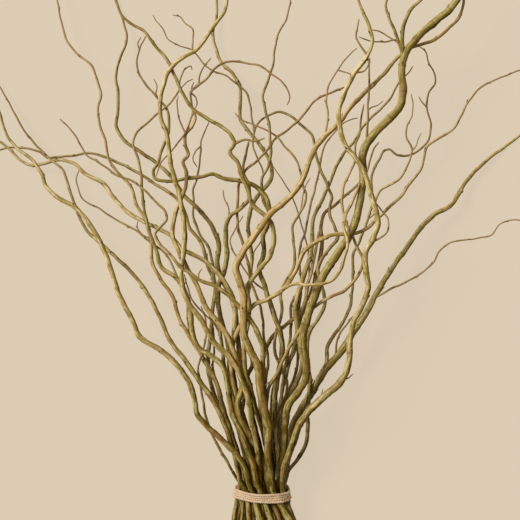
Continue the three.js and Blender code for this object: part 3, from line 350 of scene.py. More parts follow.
def stemLine(item, slotX, slotZ, index, depth):
    # Foot, tie and route of one stem. Rows: column, row, x, y, z, radius, hold.
    tieRow = photo["tieRow"]
    radius = item["widths"][0] / 2
    down = foot["shares"]
    length = foot["length"] + foot["uneven"] * math.sin(index * foot["unevenTurn"])
    spread = 1 + (foot["spread"] - 1) * (1 - (1 - down) ** 2)
    edge = slotX / (bunch["tieWidth"] / 2)
    lean = foot["lean"] * (slotZ - depth) / foot["leanDepth"] * (1 - foot["edgeHold"] * edge ** 2)
    sway = foot["sway"] * np.sin(index * foot["swayTurn"] + down * foot["swayRate"]) * down
    blank = np.full(len(down), np.nan)
    below = np.array([
        blank, blank,
        slotX * spread + lean * down + sway,
        sight(0, tieRow, slotZ)[1] - length * down,
        np.maximum(radius, slotZ + (slotZ - depth) * (spread - 1)),
        radius * (1 + foot["swelling"] * down),
        np.zeros(len(down)),
    ])
    column, row = item["route"].T
    share = shares(item["route"])
    spotRadius = along(item["widths"], share) / 2
    distance = (tieRow - row) * photo["pixel"]
    height = layerHeight(slotZ, spotRadius, along(item["front"], share), distance)
    near, far = bunch["settleRows"]
    settle = 1 - smooth(tieRow - near, tieRow - far, row)
    x, y = sight(column, row, height)
    x = x + (slotX - sight(column[0], 0, slotZ)[0]) * settle
    near, far = bunch["holdRows"]
    hold = smooth(tieRow - near, tieRow - far, row)
    above = np.array([column, row, x, y, np.maximum(height, spotRadius), spotRadius, hold])
    return dict(stem=index, layer=index, spots=np.hstack([below, above]), parent=None)


def joinOf(parent, column, row):
    # The nearest place on a line, as seen in the photo, to where a shoot starts, and how far off.
    first = 0 if parent["parent"] else len(foot["shares"])
    u, v = parent["spots"][:2, first:]
    du, dv = np.diff(u), np.diff(v)
    t = np.clip(((column - u[:-1]) * du + (row - v[:-1]) * dv) / (du * du + dv * dv), 0, 1)
    off = np.hypot(column - u[:-1] - du * t, row - v[:-1] - dv * t)
    best = int(np.argmin(off))
    return off[best], first + best, t[best]


shootWay = dict(rise=0.1, sink=-0.07, reach=120, ownLayer=30)


def shootLine(item, parents, index, order):
    # A side shoot: it starts on the middle of its stem or of an earlier shoot, then rises or sinks.
    joins = [joinOf(own, *item["route"][0]) for own in parents]
    nearest = min(range(len(joins)), key=lambda k: joins[k][0])
    parent = parents[nearest]
    near, t = joins[nearest][1:]
    start = parent["spots"][:, near] * (1 - t) + parent["spots"][:, near + 1] * t
    column, row = item["route"].T.copy()
    column[0], row[0] = start[0], start[1]
    share = shares(item["route"])
    radius = along(item["widths"], share) / 2
    away = np.hypot(column - start[0], row - start[1]) * photo["pixel"]
    slope = shootWay["rise"] if order % 2 else shootWay["sink"]
    height = start[4] + slope * np.minimum(away, shootWay["reach"])
    layer = index
    if len(item["front"]):
        distance = (photo["tieRow"] - row) * photo["pixel"]
        own = layerHeight(start[4], radius, along(item["front"], share), distance)
        height = start[4] + (own - start[4]) * smooth(0, shootWay["ownLayer"], away)
        layer = len(stems) + order
    height = np.maximum(height, radius)
    x, y = sight(column, row, height)
    spots = np.array([column, row, x, y, height, radius, np.ones(len(row))])
    return dict(stem=index, layer=layer, spots=spots, parent=parent, near=near, t=t)


# Steps of the settling, the margins in mm in which it looks for pairs, how far each step evens the
# shifts out, how much of a push goes along the bunch, and where the twine lifts the stems.
settling = dict(steps=460, relaxSteps=300, searchEvery=20, firstMargin=5, margin=1.5, relax=0.22,
                keep=0.998, endwise=0.2, clearance=1.02, underTie=(10, 75), parallel=1e-6)


def dot(m, n):
    return (m * n).sum(1)


def settleLines(lines):
    # Touching stems part until they clear each other; above the tie they part only in height.
    counts = [line["spots"].shape[1] for line in lines]
    starts = np.concatenate([[0], np.cumsum(counts)])[:-1]
    column, row, x, y, z, radius, hold = np.hstack([line["spots"] for line in lines])
    first, before, after, stemOf, layerOf = (np.concatenate(parts) for parts in zip(*[
        (np.arange(n - 1) + s,
         np.maximum(np.arange(n) - 1, 0) + s, np.minimum(np.arange(n) + 1, n - 1) + s,
         np.full(n - 1, line["stem"]), np.full(n - 1, line["layer"]))
        for n, s, line in zip(counts, starts, lines)]))
    place = np.stack([x, y, z], 1)
    aim = place.copy()
    beside = np.abs(y - sight(0, photo["tieRow"], bunch["tieHeight"])[1])
    floor = (twine["thickness"] + bunch["stemGap"]) * (1 - smooth(*settling["underTie"], beside))
    rest = radius * settling["clearance"] + floor
    shoots = [i for i, line in enumerate(lines) if line["parent"] is not None]
    shootStart = starts[shoots]
    lineNumber = {id(line): i for i, line in enumerate(lines)}
    joinAt = np.array([starts[lineNumber[id(lines[i]["parent"])]] + lines[i]["near"] for i in shoots])
    joinShare = np.array([lines[i]["t"] for i in shoots])[:, None]
    held = hold > 0

    def closePairs(margin):
        # Pairs of straight pieces, of two stems, whose boxes seen from above overlap.
        a, b = place[first], place[first + 1]
        thick = np.maximum(radius[first], radius[first + 1])
        reach = (thick + bunch["stemGap"] / 2 + margin)[:, None]
        low = np.minimum(a, b)[:, :2] - reach
        high = np.maximum(a, b)[:, :2] + reach
        meets = np.tri(len(first), k=-1, dtype=bool) & (stemOf[:, None] != stemOf[None, :])
        for axis in (0, 1):
            meets &= low[:, None, axis] < high[None, :, axis]
            meets &= low[None, :, axis] < high[:, None, axis]
        return np.nonzero(meets)

    def presses(i, j):
        # Shifts that part each pair where it is nearer than its two radii and the gap. Five places
        # are tried for the nearest: each end against the other piece, and where the lines cross.
        ia, ja = first[i], first[j]
        flat = hold[ia] + hold[ia + 1] + hold[ja] + hold[ja + 1] > 2
        scale = np.stack([np.ones(len(i)), np.ones(len(i)), np.where(flat, 0, 1)], 1)
        p, p1, q, q1 = place[ia], place[ia + 1], place[ja], place[ja + 1]
        d, e, r = (p1 - p) * scale, (q1 - q) * scale, (p - q) * scale
        dd, ee, de, dr, er = dot(d, d), dot(e, e), dot(d, e), dot(d, r), dot(e, r)
        cross = dd * ee - de * de
        skew = cross > settling["parallel"] * dd * ee
        safe = np.where(skew, cross, 1)
        zero, one = np.zeros(len(i)), np.ones(len(i))
        s = np.stack([zero, one, np.clip(-dr / dd, 0, 1), np.clip((de - dr) / dd, 0, 1),
                      (de * er - ee * dr) / safe])
        t = np.stack([np.clip(er / ee, 0, 1), np.clip((er + de) / ee, 0, 1), zero, one,
                      (dd * er - de * dr) / safe])
        real = np.ones(s.shape, bool)
        real[4] = skew & (s[4] > 0) & (s[4] < 1) & (t[4] > 0) & (t[4] < 1)
        weights = [1 - s, s, t - 1, -t]
        ends = [ia, ia + 1, ja, ja + 1]
        s, t = s[..., None], t[..., None]
        off = p * (1 - s) + p1 * s - q * (1 - t) - q1 * t
        s, t = s[..., 0], t[..., 0]
        need = (radius[ia] * (1 - s) + radius[ia + 1] * s
                + radius[ja] * (1 - t) + radius[ja + 1] * t + bunch["stemGap"])
        side = np.hypot(off[..., 0], off[..., 1])
        above = np.where(order[layerOf[i], layerOf[j]] > 0, 1, -1)
        short = np.sqrt(np.maximum(need * need - side * side, 0)) - off[..., 2] * above
        lift = np.where((side < need) & (short > 0), short, 0) * above
        apart = np.sqrt((off * off).sum(2)) + tiny
        part = np.where(apart < need, (need - apart) / apart, 0)[..., None] * off
        push = np.where(flat[None, :, None], np.stack([0 * lift, 0 * lift, lift], 2), part)
        push = np.where(real[..., None], push, 0)
        active = (np.abs(push).sum(2) > 0).astype(float)
        total = sum(w * w for w in weights)
        move = np.zeros_like(place)
        load = np.zeros(len(place))
        for w, end in zip(weights, ends):
            which = np.broadcast_to(end, w.shape).ravel()
            load += np.bincount(which, (np.abs(w) * active).ravel(), len(place))
            for axis in range(3):
                shift = (push[..., axis] * w / total).ravel()
                move[:, axis] += np.bincount(which, shift, len(place))
        return move / np.maximum(load, 1)[:, None]

    i, j = closePairs(settling["firstMargin"])
    middle = (aim[first, 2] + aim[first + 1, 2]) / 2
    order = np.zeros((layerOf.max() + 1,) * 2)
    np.add.at(order, (layerOf[i], layerOf[j]), middle[i] - middle[j])
    np.add.at(order, (layerOf[j], layerOf[i]), middle[j] - middle[i])
    for step in range(settling["steps"]):
        if step % settling["searchEvery"] == 0:
            i, j = closePairs(settling["margin"])
        place += presses(i, j) * [1, settling["endwise"], 1]
        if step < settling["relaxSteps"]:
            shift = place - aim
            bend = shift[before] + shift[after] - 2 * shift
            place = aim + (shift + settling["relax"] * bend) * settling["keep"]
        place[shootStart] = place[joinAt] * (1 - joinShare) + place[joinAt + 1] * joinShare
        place[:, 2] = np.maximum(place[:, 2], rest)
        seen = np.stack(sight(column[held], row[held], place[held, 2]), 1)
        place[held, :2] += (seen - place[held, :2]) * hold[held, None]
    for n, s, line in zip(counts, starts, lines):
        line["places"] = place[s:s + n]
        line["radii"] = radius[s:s + n]


def unit(rows):
    return rows / np.linalg.norm(rows, axis=1)[:, None]


def bendFrames(places, upright):
    # Two directions square to the line at each place: one leans on the upright, one lies across it.
    ahead = np.empty_like(places)
    ahead[1:-1] = places[2:] - places[:-2]
    ahead[0], ahead[-1] = places[1] - places[0], places[-1] - places[-2]
    ahead = unit(ahead)
    side = unit(upright - (ahead @ upright)[:, None] * ahead)
    return ahead, side, np.cross(side, ahead)


def ringWays(sides, first, second):
    # Directions round each ring: the cosine of the first way plus the sine of the second.
    angle = np.arange(sides) * fullTurn / sides
    return np.cos(angle)[:, None] * first[:, None] + np.sin(angle)[:, None] * second[:, None]


def twinePlaces(lines, tieY):
    # The twine's middle line: at each angle it lies on the stem that reaches furthest out.
    wound = twine["turns"] * twine["perTurn"]
    spot = np.arange(wound + twine["tail"] + 1)
    over = np.maximum(spot - wound, 0) / twine["tail"]
    angle = np.radians(twine["startAngle"] + 360 * spot / twine["perTurn"])
    turn = np.minimum(spot / twine["perTurn"], twine["turns"]) - twine["turns"] / 2
    y = (tieY - twine["slant"] * np.sin(angle) - turn * twine["pitch"]
         + over * (twine["turns"] * twine["pitch"] + twine["tailReach"]))
    outward = np.stack([np.cos(angle), np.sin(angle)], 1)
    best = np.full(len(spot), -np.inf)
    at = np.zeros((len(spot), 2))
    size = np.zeros(len(spot))
    for line in (own for own in lines if own["parent"] is None):
        x, lineY, z = line["places"].T
        slant = np.linalg.norm(np.diff(line["places"], axis=0), axis=1) / np.diff(lineY)
        for level in (-twine["grip"], 0, twine["grip"]):
            piece = np.searchsorted(lineY, y + level, side="right") - 1
            t = (y + level - lineY[piece]) / (lineY[piece + 1] - lineY[piece])
            cx = x[piece] + (x[piece + 1] - x[piece]) * t
            cz = z[piece] + (z[piece + 1] - z[piece]) * t
            r = line["radii"][piece] * slant[piece]
            reach = cx * outward[:, 0] + cz * outward[:, 1] + r
            more = reach > best
            best = np.where(more, reach, best)
            at[more] = np.stack([cx, cz], 1)[more]
            size = np.where(more, r, size)
    off = (size + bunch["stemGap"] * twine["lift"] + twine["thickness"] / 2
           + smooth(0, twine["tailRise"], over) * twine["pitch"])
    x, z = (at + outward * off[:, None]).T
    return np.stack([x, y, np.maximum(z, twine["thickness"] / 2)], 1)


slotX, slotZ = packSections()
depth = slotZ.mean()
lines = [stemLine(item, slotX[k], slotZ[k], k, depth) for k, item in enumerate(stems)]
for k, item in enumerate(stems):
    for order, side in enumerate(item["shoots"]):
        lines.append(shootLine(side, [line for line in lines if line["stem"] == k], k, order))
settleLines(lines)
tieY = sight(0, photo["tieRow"], depth)[1]
twineLine = twinePlaces(lines, sight(0, photo["twineRow"], depth)[1])

# The origin is under the middle of the solids: their rings have 5 sides, and the twine's 6.
up, alongY = np.array([0, 0, 1.0]), np.array([0, 1.0, 0])
rings = [(line["places"], line["radii"][:, None, None], 5, up) for line in lines]
rings.append((twineLine, twine["thickness"] / 2, 6, alongY))
extent = []
for places, radii, sides, upright in rings:
    _, side, across = bendFrames(places, upright)
    extent.append((places[:, None] + ringWays(sides, across, side) * radii).reshape(-1, 3))
extent = np.concatenate(extent)
low, high = extent.min(0), extent.max(0)
origin = np.array([(low[0] + high[0]) / 2, (low[1] + high[1]) / 2, low[2]])
print("settled", len(lines), "lines; size", (high - low).round(1))

# Bark of each stem, its growth marks and its ends. Sizes in mm; waves are lengths and shares.
growth = dict(
    step=1.9, sides=12, shootStep=1.7, shootSides=9, thinRadius=1.6, thinSides=8, fullAge=4.6,
    wobble=0.35, stillEnd=12, wobbleWaves=([31, 17, 53], [27, 19, 61]), wobbleShares=[0.5, 0.35, 0.6],
    lobes=((0.035, 2, -70), (0.025, 3, 45)), uneven=0.04, unevenWaves=([9, 23, 47], [0.6, 0.7, 0.7]),
    swelling=0.1, swellingLength=2.6, swellingRound=0.35, swellingSide=0.8,
    collar=0.45, collarLength=4.0, tipLength=7, tipRadius=0.45, bluntRadius=2.6, domeRadius=1.2,
    cutSlant=0.35, cutLength=6, riseLength=520, riseRange=(-0.3, 1),
)
buds = dict(spacing=32, thinSpacing=(0.62, 0.38), thickRadius=3, uneven=(0.72, 1.3), spare=1.5,
            clearFoot=10, clearTip=6, turn=144, turnError=0.25, share=0.7, length=5, width=2.1,
            growth=(0.7, 1.15), thinGrowth=(0.6, 0.4), fullSize=2.5, seat=0.93, flatness=0.72, sides=6)
paintedLightDirection = np.array([-0.74, 0.45, 0.5])  # the direction of the painted light: bark facing it is painted lighter, bark facing away is painted darker as painted shade


def smoothCurve(places, radii, step):
    # A smooth curve through the places: cubic pieces whose slope at each place is the length-weighted
    # mean of the two straight slopes beside it.
    gaps = np.linalg.norm(np.diff(places, axis=0), axis=1)
    run = np.concatenate([[0], np.cumsum(gaps)])
    slope = np.diff(places, axis=0) / gaps[:, None]
    tangent = np.vstack([slope[:1], slope, slope[-1:]])
    wide = np.concatenate([gaps[:1], gaps, gaps[-1:]])[:, None]
    tangent = (tangent[:-1] * wide[1:] + tangent[1:] * wide[:-1]) / (wide[1:] + wide[:-1])
    s = np.linspace(0, run[-1], max(int(round(run[-1] / step)), 6) + 1)
    i = np.clip(np.searchsorted(run, s, side="right") - 1, 0, len(gaps) - 1)
    t = ((s - run[i]) / gaps[i])[:, None]
    h = gaps[i][:, None]
    curve = ((2 * t**3 - 3 * t**2 + 1) * places[i] + (t**3 - 2 * t**2 + t) * h * tangent[i]
             + (3 * t**2 - 2 * t**3) * places[i + 1] + (t**3 - t**2) * h * tangent[i + 1])
    kernel = np.array([1, 2, 3, 2, 1]) / 9
    radius = np.pad(np.interp(s, run, radii), 2, mode="edge")
    return s, curve, np.convolve(radius, kernel, mode="valid")


def waves(s, seed, lengths, sizes):
    # A sum of sine waves of unlike lengths, which gives an even, unrepeating unsteadiness.
    phase = np.random.default_rng(seed).uniform(0, fullTurn, len(lengths))
    return sum(size * np.sin(fullTurn * s / length + start)
               for length, size, start in zip(lengths, sizes, phase))


def gridFaces(rings, sides):
    # Quads between each ring and the next, closed round the ring.
    a = np.arange(rings - 1)[:, None] * sides + np.arange(sides)[None, :]
    b = np.arange(rings - 1)[:, None] * sides + (np.arange(sides)[None, :] + 1) % sides
    return np.stack([a, b, b + sides, a + sides], 2).reshape(-1, 4)


class Shape:
    # Collects the quads of one piece and their marks: grain, which is the place round and along the
    # stem in mm, age, knot, how far it faces the painted light direction, and material.
    def __init__(self):
        self.points, self.quads, self.grain, self.marks, self.slots = [], [], [], [], []
        self.count = 0

    def add(self, points, quads, grain, age, knot, slot=0, sunny=0.0):
        points = points.reshape(-1, 3)
        self.points.append(points)
        self.quads.append(quads + self.count)
        self.grain.append(grain.reshape(-1, 3))
        marks = [np.broadcast_to(np.ravel(mark), len(points)) for mark in (age, knot, sunny)]
        self.marks.append(np.stack(marks, 1))
        self.slots.append(np.full(len(quads), slot))
        self.count += len(points)


def addTube(shape, line, seed, isShoot, offset):
    # The bark surface: rings square to the smooth curve. A ring's radius is the taper with a fine
    # unsteadiness, times one plus two and three soft lobes round the stem and the swelling at knots.
    rng = np.random.default_rng(seed)
    step = growth["shootStep" if isShoot else "step"]
    sides = growth["shootSides" if isShoot else "sides"]
    if line["radii"].max() < growth["thinRadius"]:
        sides = growth["thinSides"]
    s, curve, radius = smoothCurve(line["places"] - origin, line["radii"], step)
    total = s[-1]
    sway = growth["wobble"] * smooth(0, growth["stillEnd"], s) * smooth(0, growth["stillEnd"], total - s)
    for k, way in enumerate(bendFrames(curve, up)[1:]):
        wave = waves(s, seed + k, growth["wobbleWaves"][k], growth["wobbleShares"])
        curve = curve + way * (sway * wave)[:, None]
    ahead, side, across = bendFrames(curve, up)
    small, gain = buds["thinSpacing"]
    spacing = buds["spacing"] * (small + gain * np.clip(radius.mean() / buds["thickRadius"], 0, 1))
    knots = np.cumsum(rng.uniform(*buds["uneven"], int(total / spacing * buds["spare"]) + 3) * spacing)
    knots = knots[(knots > buds["clearFoot"]) & (knots < total - buds["clearTip"])]
    turn = (rng.uniform(0, fullTurn) + np.arange(len(knots)) * math.radians(buds["turn"])
            + rng.normal(0, buds["turnError"], len(knots)))
    close = np.exp(-((s[:, None] - knots[None, :]) / growth["swellingLength"]) ** 2)
    knot = close.sum(1)
    angle = np.arange(sides) * fullTurn / sides
    lobe = sum(share * np.cos(count * (angle[None, :] + s[:, None] / pitch) + seed * k)
               for k, (share, count, pitch) in enumerate(growth["lobes"], 1))
    facing = 0.5 + 0.5 * np.cos(angle[None, None, :] - turn[None, :, None])
    oneSide = (close[:, :, None] * facing).sum(1)
    swell = growth["swellingRound"] * knot[:, None] + growth["swellingSide"] * oneSide
    size = radius * (1 + growth["uneven"] * waves(s, seed + 2, *growth["unevenWaves"]))
    size = size[:, None] * (1 + lobe + growth["swelling"] * swell)
    if isShoot:
        size *= (1 + growth["collar"] * np.exp(-s / growth["collarLength"]))[:, None]
    if line["radii"][-1] < growth["bluntRadius"]:
        taper = np.clip((total - s) / growth["tipLength"], 0, 1)
        tip = growth["tipRadius"]
        size = tip + (size - tip) * np.sqrt(taper * (2 - taper))[:, None]
    ring = ringWays(sides, side, across)
    points = curve[:, None] + ring * size[..., None]
    if not isShoot:
        fade = np.exp(-s / growth["cutLength"])[:, None]
        slant = fade * np.cos(angle - seed)[None, :] * size * growth["cutSlant"]
        points = points + ahead[:, None] * slant[..., None]
    grain = np.stack([np.cos(angle)[None, :] * size, np.sin(angle)[None, :] * size,
                      np.broadcast_to(s[:, None] + offset, size.shape)], 2)
    age = np.clip(size.mean(1) / growth["fullAge"], 0, 1)
    rows = [np.repeat(mark, sides) for mark in (age, np.clip(knot, 0, 1))]
    # each point's facing towards the painted light direction, which paints the lit side lighter and the
    # far side darker
    shape.add(points, gridFaces(len(s), sides), grain, *rows, sunny=ring @ paintedLightDirection)
    addEnd(shape, points[-1], ahead[-1], grain[-1], age[-1], size[-1].mean(), True)
    addEnd(shape, points[0], -ahead[0], grain[0], age[0], size[0].mean(), False)
    addBuds(shape, curve, (ahead, side, across), size.mean(1), s, knots, turn, rng, age, offset)


def addEnd(shape, rim, outward, grain, age, radius, isTip):
    # A closed end: rings that shrink to the middle, domed on a tip, with a lip and a pith on a cut.
    domed = isTip and radius < growth["domeRadius"]
    shrink = np.array([1, 0.8, 0.4, 0.02] if domed else [1, 0.93, 0.84, 0.5, 0.2, 0.02])
    rise = np.array([0, 0.5, 0.9, 1.0]) * radius if domed else np.array([0, 0.22, 0.12, 0.16, 0.1, -0.1])
    centre = rim.mean(0)
    points = (centre + (rim - centre) * shrink[:, None, None]) + outward * rise[:, None, None]
    marks = grain * np.stack([shrink, shrink, np.ones(len(shrink))], 1)[:, None, :]
    quads = gridFaces(len(shrink), len(rim))
    shape.add(points, quads if isTip else quads[:, ::-1], marks, age, 0, 0 if domed else 1)


def addBuds(shape, curve, ways, size, s, knots, turn, rng, age, offset):
    # Winter buds at most knots: a flattened teardrop that lies on the bark and points to the tip.
    # Its rings follow a spine that lifts off the stem, with a girth for each share of its length.
    keep = rng.uniform(size=len(knots)) < buds["share"]
    knots, turn = knots[keep], turn[keep]
    if not len(knots):
        return
    i = np.clip(np.searchsorted(s, knots), 1, len(s) - 1)
    ahead, side, across = (way[i] for way in ways)
    out = np.cos(turn)[:, None] * side + np.sin(turn)[:, None] * across
    beside = np.cross(ahead, out)
    small, gain = buds["thinGrowth"]
    grow = (rng.uniform(*buds["growth"], len(knots))
            * (small + gain * np.clip(size[i] / buds["fullSize"], 0, 1)))
    length, width = buds["length"] * grow, buds["width"] * grow
    t = np.array([0, 0.14, 0.36, 0.62, 0.84, 1.0])
    girth = np.array([0.5, 0.95, 1.0, 0.72, 0.36, 0.03]) / 2
    lift = np.array([-0.1, 0.05, 0.22, 0.34, 0.38, 0.36])
    around = np.arange(buds["sides"]) * fullTurn / buds["sides"]
    bottom = curve[i] + out * (size[i] * buds["seat"])[:, None]
    spine = (bottom[:, None] + ahead[:, None] * (t[None, :] * length[:, None])[..., None]
             + out[:, None] * (lift[None, :] * width[:, None])[..., None])
    thick = girth[None, :, None] * width[:, None, None]
    ringOut = np.cos(around)[None, None, :] * thick * buds["flatness"]
    ringSide = np.sin(around)[None, None, :] * thick
    points = (spine[:, :, None] + out[:, None, None] * ringOut[..., None]
              + beside[:, None, None] * ringSide[..., None])
    budPoints = len(t) * buds["sides"]
    first = (np.arange(len(knots)) * budPoints)[:, None, None]
    quads = (gridFaces(len(t), buds["sides"])[None] + first).reshape(-1, 4)
    tipward = np.broadcast_to(t[None, :, None], ringOut.shape)
    grain = np.stack([ringOut, ringSide, tipward * buds["length"] + offset + knots[:, None, None]], 3)
    shape.add(points, quads, grain, np.repeat(age[i], budPoints), tipward, 2)


def finishPiece(shape, name, materials, node):
    # Puts the collected surface into a mesh at the origin, in metres, with its marks as attributes.
    # Rise is the height above the tie as seen from above, as a share of the rise length.
    points = np.concatenate(shape.points) * mm
    points[:, 2] = np.maximum(points[:, 2], 0)
    rise = np.clip((points[:, 1:2] / mm + origin[1] - tieY) / growth["riseLength"], *growth["riseRange"])
    marks = np.hstack([np.concatenate(shape.marks), rise])
    quads = np.concatenate(shape.quads)
    mesh = bpy.data.meshes.new(name)
    mesh.vertices.add(len(points))
    mesh.loops.add(quads.size)
    mesh.polygons.add(len(quads))
    for part, key, values, kind in (
            (mesh.vertices, "co", points, np.float32),
            (mesh.loops, "vertex_index", quads, np.int32),
            (mesh.polygons, "loop_start", np.arange(len(quads)) * 4, np.int32),
            (mesh.polygons, "material_index", np.concatenate(shape.slots), np.int32),
            (mesh.polygons, "use_smooth", np.ones(len(quads)), bool)):
        part.foreach_set(key, values.astype(kind).ravel())
    grain = mesh.attributes.new("grain", "FLOAT_VECTOR", "POINT")
    grain.data.foreach_set("vector", np.concatenate(shape.grain).astype(np.float32).ravel())
    for key, values in zip(("age", "knot", "sunny", "rise"), marks.T):
        mark = mesh.attributes.new(key, "FLOAT", "POINT")
        mark.data.foreach_set("value", values.astype(np.float32))
    mesh.update(calc_edges=True)
    mesh.validate()
    for material in materials:
        mesh.materials.append(material)
    piece = bpy.data.objects.new(name, mesh)
    bpy.context.scene.collection.objects.link(piece)
    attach(piece, "root")
    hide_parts(node)


# Bark colours: the upper part of each kind of stem, and the lower part, the same for all. The lower part
# is olive bark, made darker as well as painted shade of the crowded stems near the tie.
barkLooks = {
    "light": dict(main="#9C8E48", light="#DCD1A4", dark="#463808", patch="#B29A6A"),
    "olive": dict(main="#8E803C", light="#C6BA86", dark="#342800", patch="#9C8658"),
    "dark": dict(main="#7E7234", light="#B4A870", dark="#281E00", patch="#8A7344"),
    "tan": dict(main="#A08A4C", light="#D2C090", dark="#543C10", patch="#B29668"),
    "brown": dict(main="#8A703E", light="#C0A676", dark="#382600", patch="#927246"),
}
lowerColourAndShade = dict(main="#645814", light="#AA9E68", dark="#160C00", patch="#825C28")
# shade and shadeTint are painted shade colours: the dark and the warm tint laid on the side facing away
# from the light
tips, shade, shadeTint = "#957A56", "#160C00", "#FFF2A0"
# Where the dark, the main colour from and to, and the light lie in the tone.
upperTones, lowerTones = (0.36, 0.46, 0.54, 0.66), (0.38, 0.48, 0.55, 0.67)
# Patterns of the bark: mm round the stem, mm along it, shift for each kind, first shift, detail.
# The real streaks are a few tenths of a mm wide, and are drawn at 1.5 mm so that they show.
barkPatterns = dict(streak=(1.5, 13, 7, 0, 3), blotch=(3, 17, 3, 0, 2), drift=(9, 60, 5, 40, 2),
                    patch=(7, 24, 4, 90, 2))
poreScale = (0.42, 0.42, 0.3)  # one over the spacing: 2.4 mm round the stem and 3.3 mm along it
# How far each pattern moves the tone or the height. The painted light facing moves the tone up on the
# lit side, a painted highlight, and down on the far side.
barkTone = dict(level=-0.025, streak=0.55, blotch=0.5, sunny=0.15, drift=0.5, poreDepth=-0.5)
# From and to values of a mark, and what they give. The spans read from the painted light facing and from
# the
# rise set the painted shade: warmer and darker on the side facing away from the light, more so low down.
spans = dict(
    pore=(0.2, 0.09, 0, 0.6), foot=(-0.005, -0.03, 0, 0.06), high=(0.32, 0.72),
    patch=(0.5, 0.62, 0, 0.7), thin=(0.42, 0.2, 0, 0.75), knot=(0.5, 1, 0, 0.34),
    paintedShadeWarmth=(0.5, -0.4), away=(0.1, -0.75, 0, 0.9), paintedShadeLowDown=(0.1, 0.9, 1, 0.5), gloss=(0.3, 0.7, 0.26, 0.44),
)


def linear(code):
    # sRGB hex to linear red, green, blue, alpha.
    value = np.array([int(code[k:k + 2], 16) / 255 for k in (1, 3, 5)])
    value = np.where(value <= 0.04045, value / 12.92, ((value + 0.055) / 1.055) ** 2.4)
    return (*value, 1.0)


def newMaterial(name, *marks):
    # An empty material, the function that adds its nodes, and the marks it reads off the mesh.
    material = bpy.data.materials.new(name)
    material.use_nodes = True
    tree = material.node_tree
    tree.nodes.clear()

    def add(kind, inputs=(), output=0, stops=(), **settings):
        # Adds one node: its settings, a ramp's stops, then its inputs by place or by name. A socket is
        # linked, a hex colour is made linear, and any other value is set. Gives one of its outputs.
        node = tree.nodes.new("ShaderNode" + kind)
        for key, value in settings.items():
            setattr(node, key, value)
        for _ in stops[2:]:
            node.color_ramp.elements.new(0.5)
        for element, (at, code) in zip(node.color_ramp.elements if stops else (), stops):
            element.position, element.color = at, linear(code)
        for key, value in inputs.items() if isinstance(inputs, dict) else enumerate(inputs):
            if isinstance(value, bpy.types.NodeSocket):
                tree.links.new(value, node.inputs[key])
            else:
                node.inputs[key].default_value = linear(value) if isinstance(value, str) else value
        return node.outputs[output] if node.outputs else None

    return material, add, *(add("Attribute", (), "Vector" if mark == "grain" else "Fac",
                                attribute_name=mark) for mark in marks)


def addNoise(add, grain, scale, shift=0, **look):
    # Noise on the grain, stretched so that it follows the stem.
    place = add("Mapping", {"Vector": grain, "Location": (shift, 0, 0), "Scale": scale})
    return add("TexNoise", {"Vector": place, "Scale": 1, **look})


def barkMaterial(name, look, seed):
    # Smooth young willow bark, green-olive low down and paler above, and darker low down as painted
    # shade. It gives the eye dull waxy rods with streaks along them, blotches, small dark pores, brown
    # thin tips and a dark band at each bud. The side facing the painted light direction is painted
    # lighter, and the side facing away is painted warmer and darker as painted shade, more so low down.
    material, add, grain, knot, age, rise, sunny = newMaterial(
        name, "grain", "knot", "age", "rise", "sunny")
    mix = dict(output=2, data_type="RGBA")
    streak, blotch, drift, patch = (
        addNoise(add, grain, (1 / across, 1 / across, 1 / lengthwise), seed * turn + start,
                 Detail=detail, Roughness=0.6)
        for across, lengthwise, turn, start, detail in barkPatterns.values())
    spots = add("Mapping", {"Vector": grain, "Scale": poreScale})
    cells = add("TexVoronoi", {"Vector": spots, "Scale": 1})
    pore = add("MapRange", [cells, *spans["pore"]])
    tone = barkTone["level"]
    # streaks and blotches vary the bark's own tone; the facing towards the painted light makes the lit
    # side lighter, a painted highlight
    for mark, share in ((streak, "streak"), (blotch, "blotch"), (sunny, "sunny")):
        tone = add("Math", [mark, barkTone[share], tone], operation="MULTIPLY_ADD")
    # the foot below the tie is made lighter
    lighterFoot = add("MapRange", [rise, *spans["foot"]])
    tone = add("Math", [tone, lighterFoot], operation="ADD")
    reach = add("Math", [drift, barkTone["drift"], rise], operation="MULTIPLY_ADD")
    high = add("MapRange", [reach, *spans["high"]])
    # the lower ramp is olive bark with painted shade of the crowded part near the tie; the upper ramp is
    # the bark's own colour
    lower, upper = (
        add("ValToRGB", [tone],
            stops=list(zip(tones, (part["dark"], part["main"], part["main"], part["light"]))))
        for part, tones in ((lowerColourAndShade, lowerTones), (look, upperTones)))
    skin = add("Mix", {0: high, 6: lower, 7: upper}, **mix)
    warm = add("Mix", {0: high, 6: lowerColourAndShade["patch"], 7: look["patch"]}, **mix)
    patched = add("MapRange", [patch, *spans["patch"]])
    thin = add("MapRange", [age, *spans["thin"]])
    # painted shade: the side facing away from the light is painted warmer and darker, more so low down
    paintedWarmShade = add("MapRange", [sunny, *spans["paintedShadeWarmth"]])
    away = add("MapRange", [sunny, *spans["away"]])
    paintedShadeLowDown = add("MapRange", [rise, *spans["paintedShadeLowDown"]])
    shaded = add("Math", [away, paintedShadeLowDown], operation="MULTIPLY")
    banded = add("MapRange", [knot, *spans["knot"]])
    # patches, thin tips, pores and knot bands are the bark's own colour; the warm tint and the shade mix
    # are painted shade
    for share, colour, way in ((patched, warm, "MIX"), (thin, tips, "MIX"), (pore, look["dark"], "MIX"),
                               (paintedWarmShade, shadeTint, "MULTIPLY"), (shaded, shade, "MIX"),
                               (banded, look["dark"], "MIX")):
        skin = add("Mix", {0: share, 6: skin, 7: colour}, blend_type=way, **mix)
    rough = add("MapRange", [streak, *spans["gloss"]])
    height = add("Math", [pore, barkTone["poreDepth"], streak], operation="MULTIPLY_ADD")
    bump = add("Bump", {"Height": height, "Strength": 0.4, "Distance": 0.25 * mm})
    add("OutputMaterial", [add("BsdfPrincipled", {
        "Base Color": skin, "Roughness": rough, "IOR": 1.47,
        "Specular IOR Level": 0.12, "Normal": bump})])
    return material


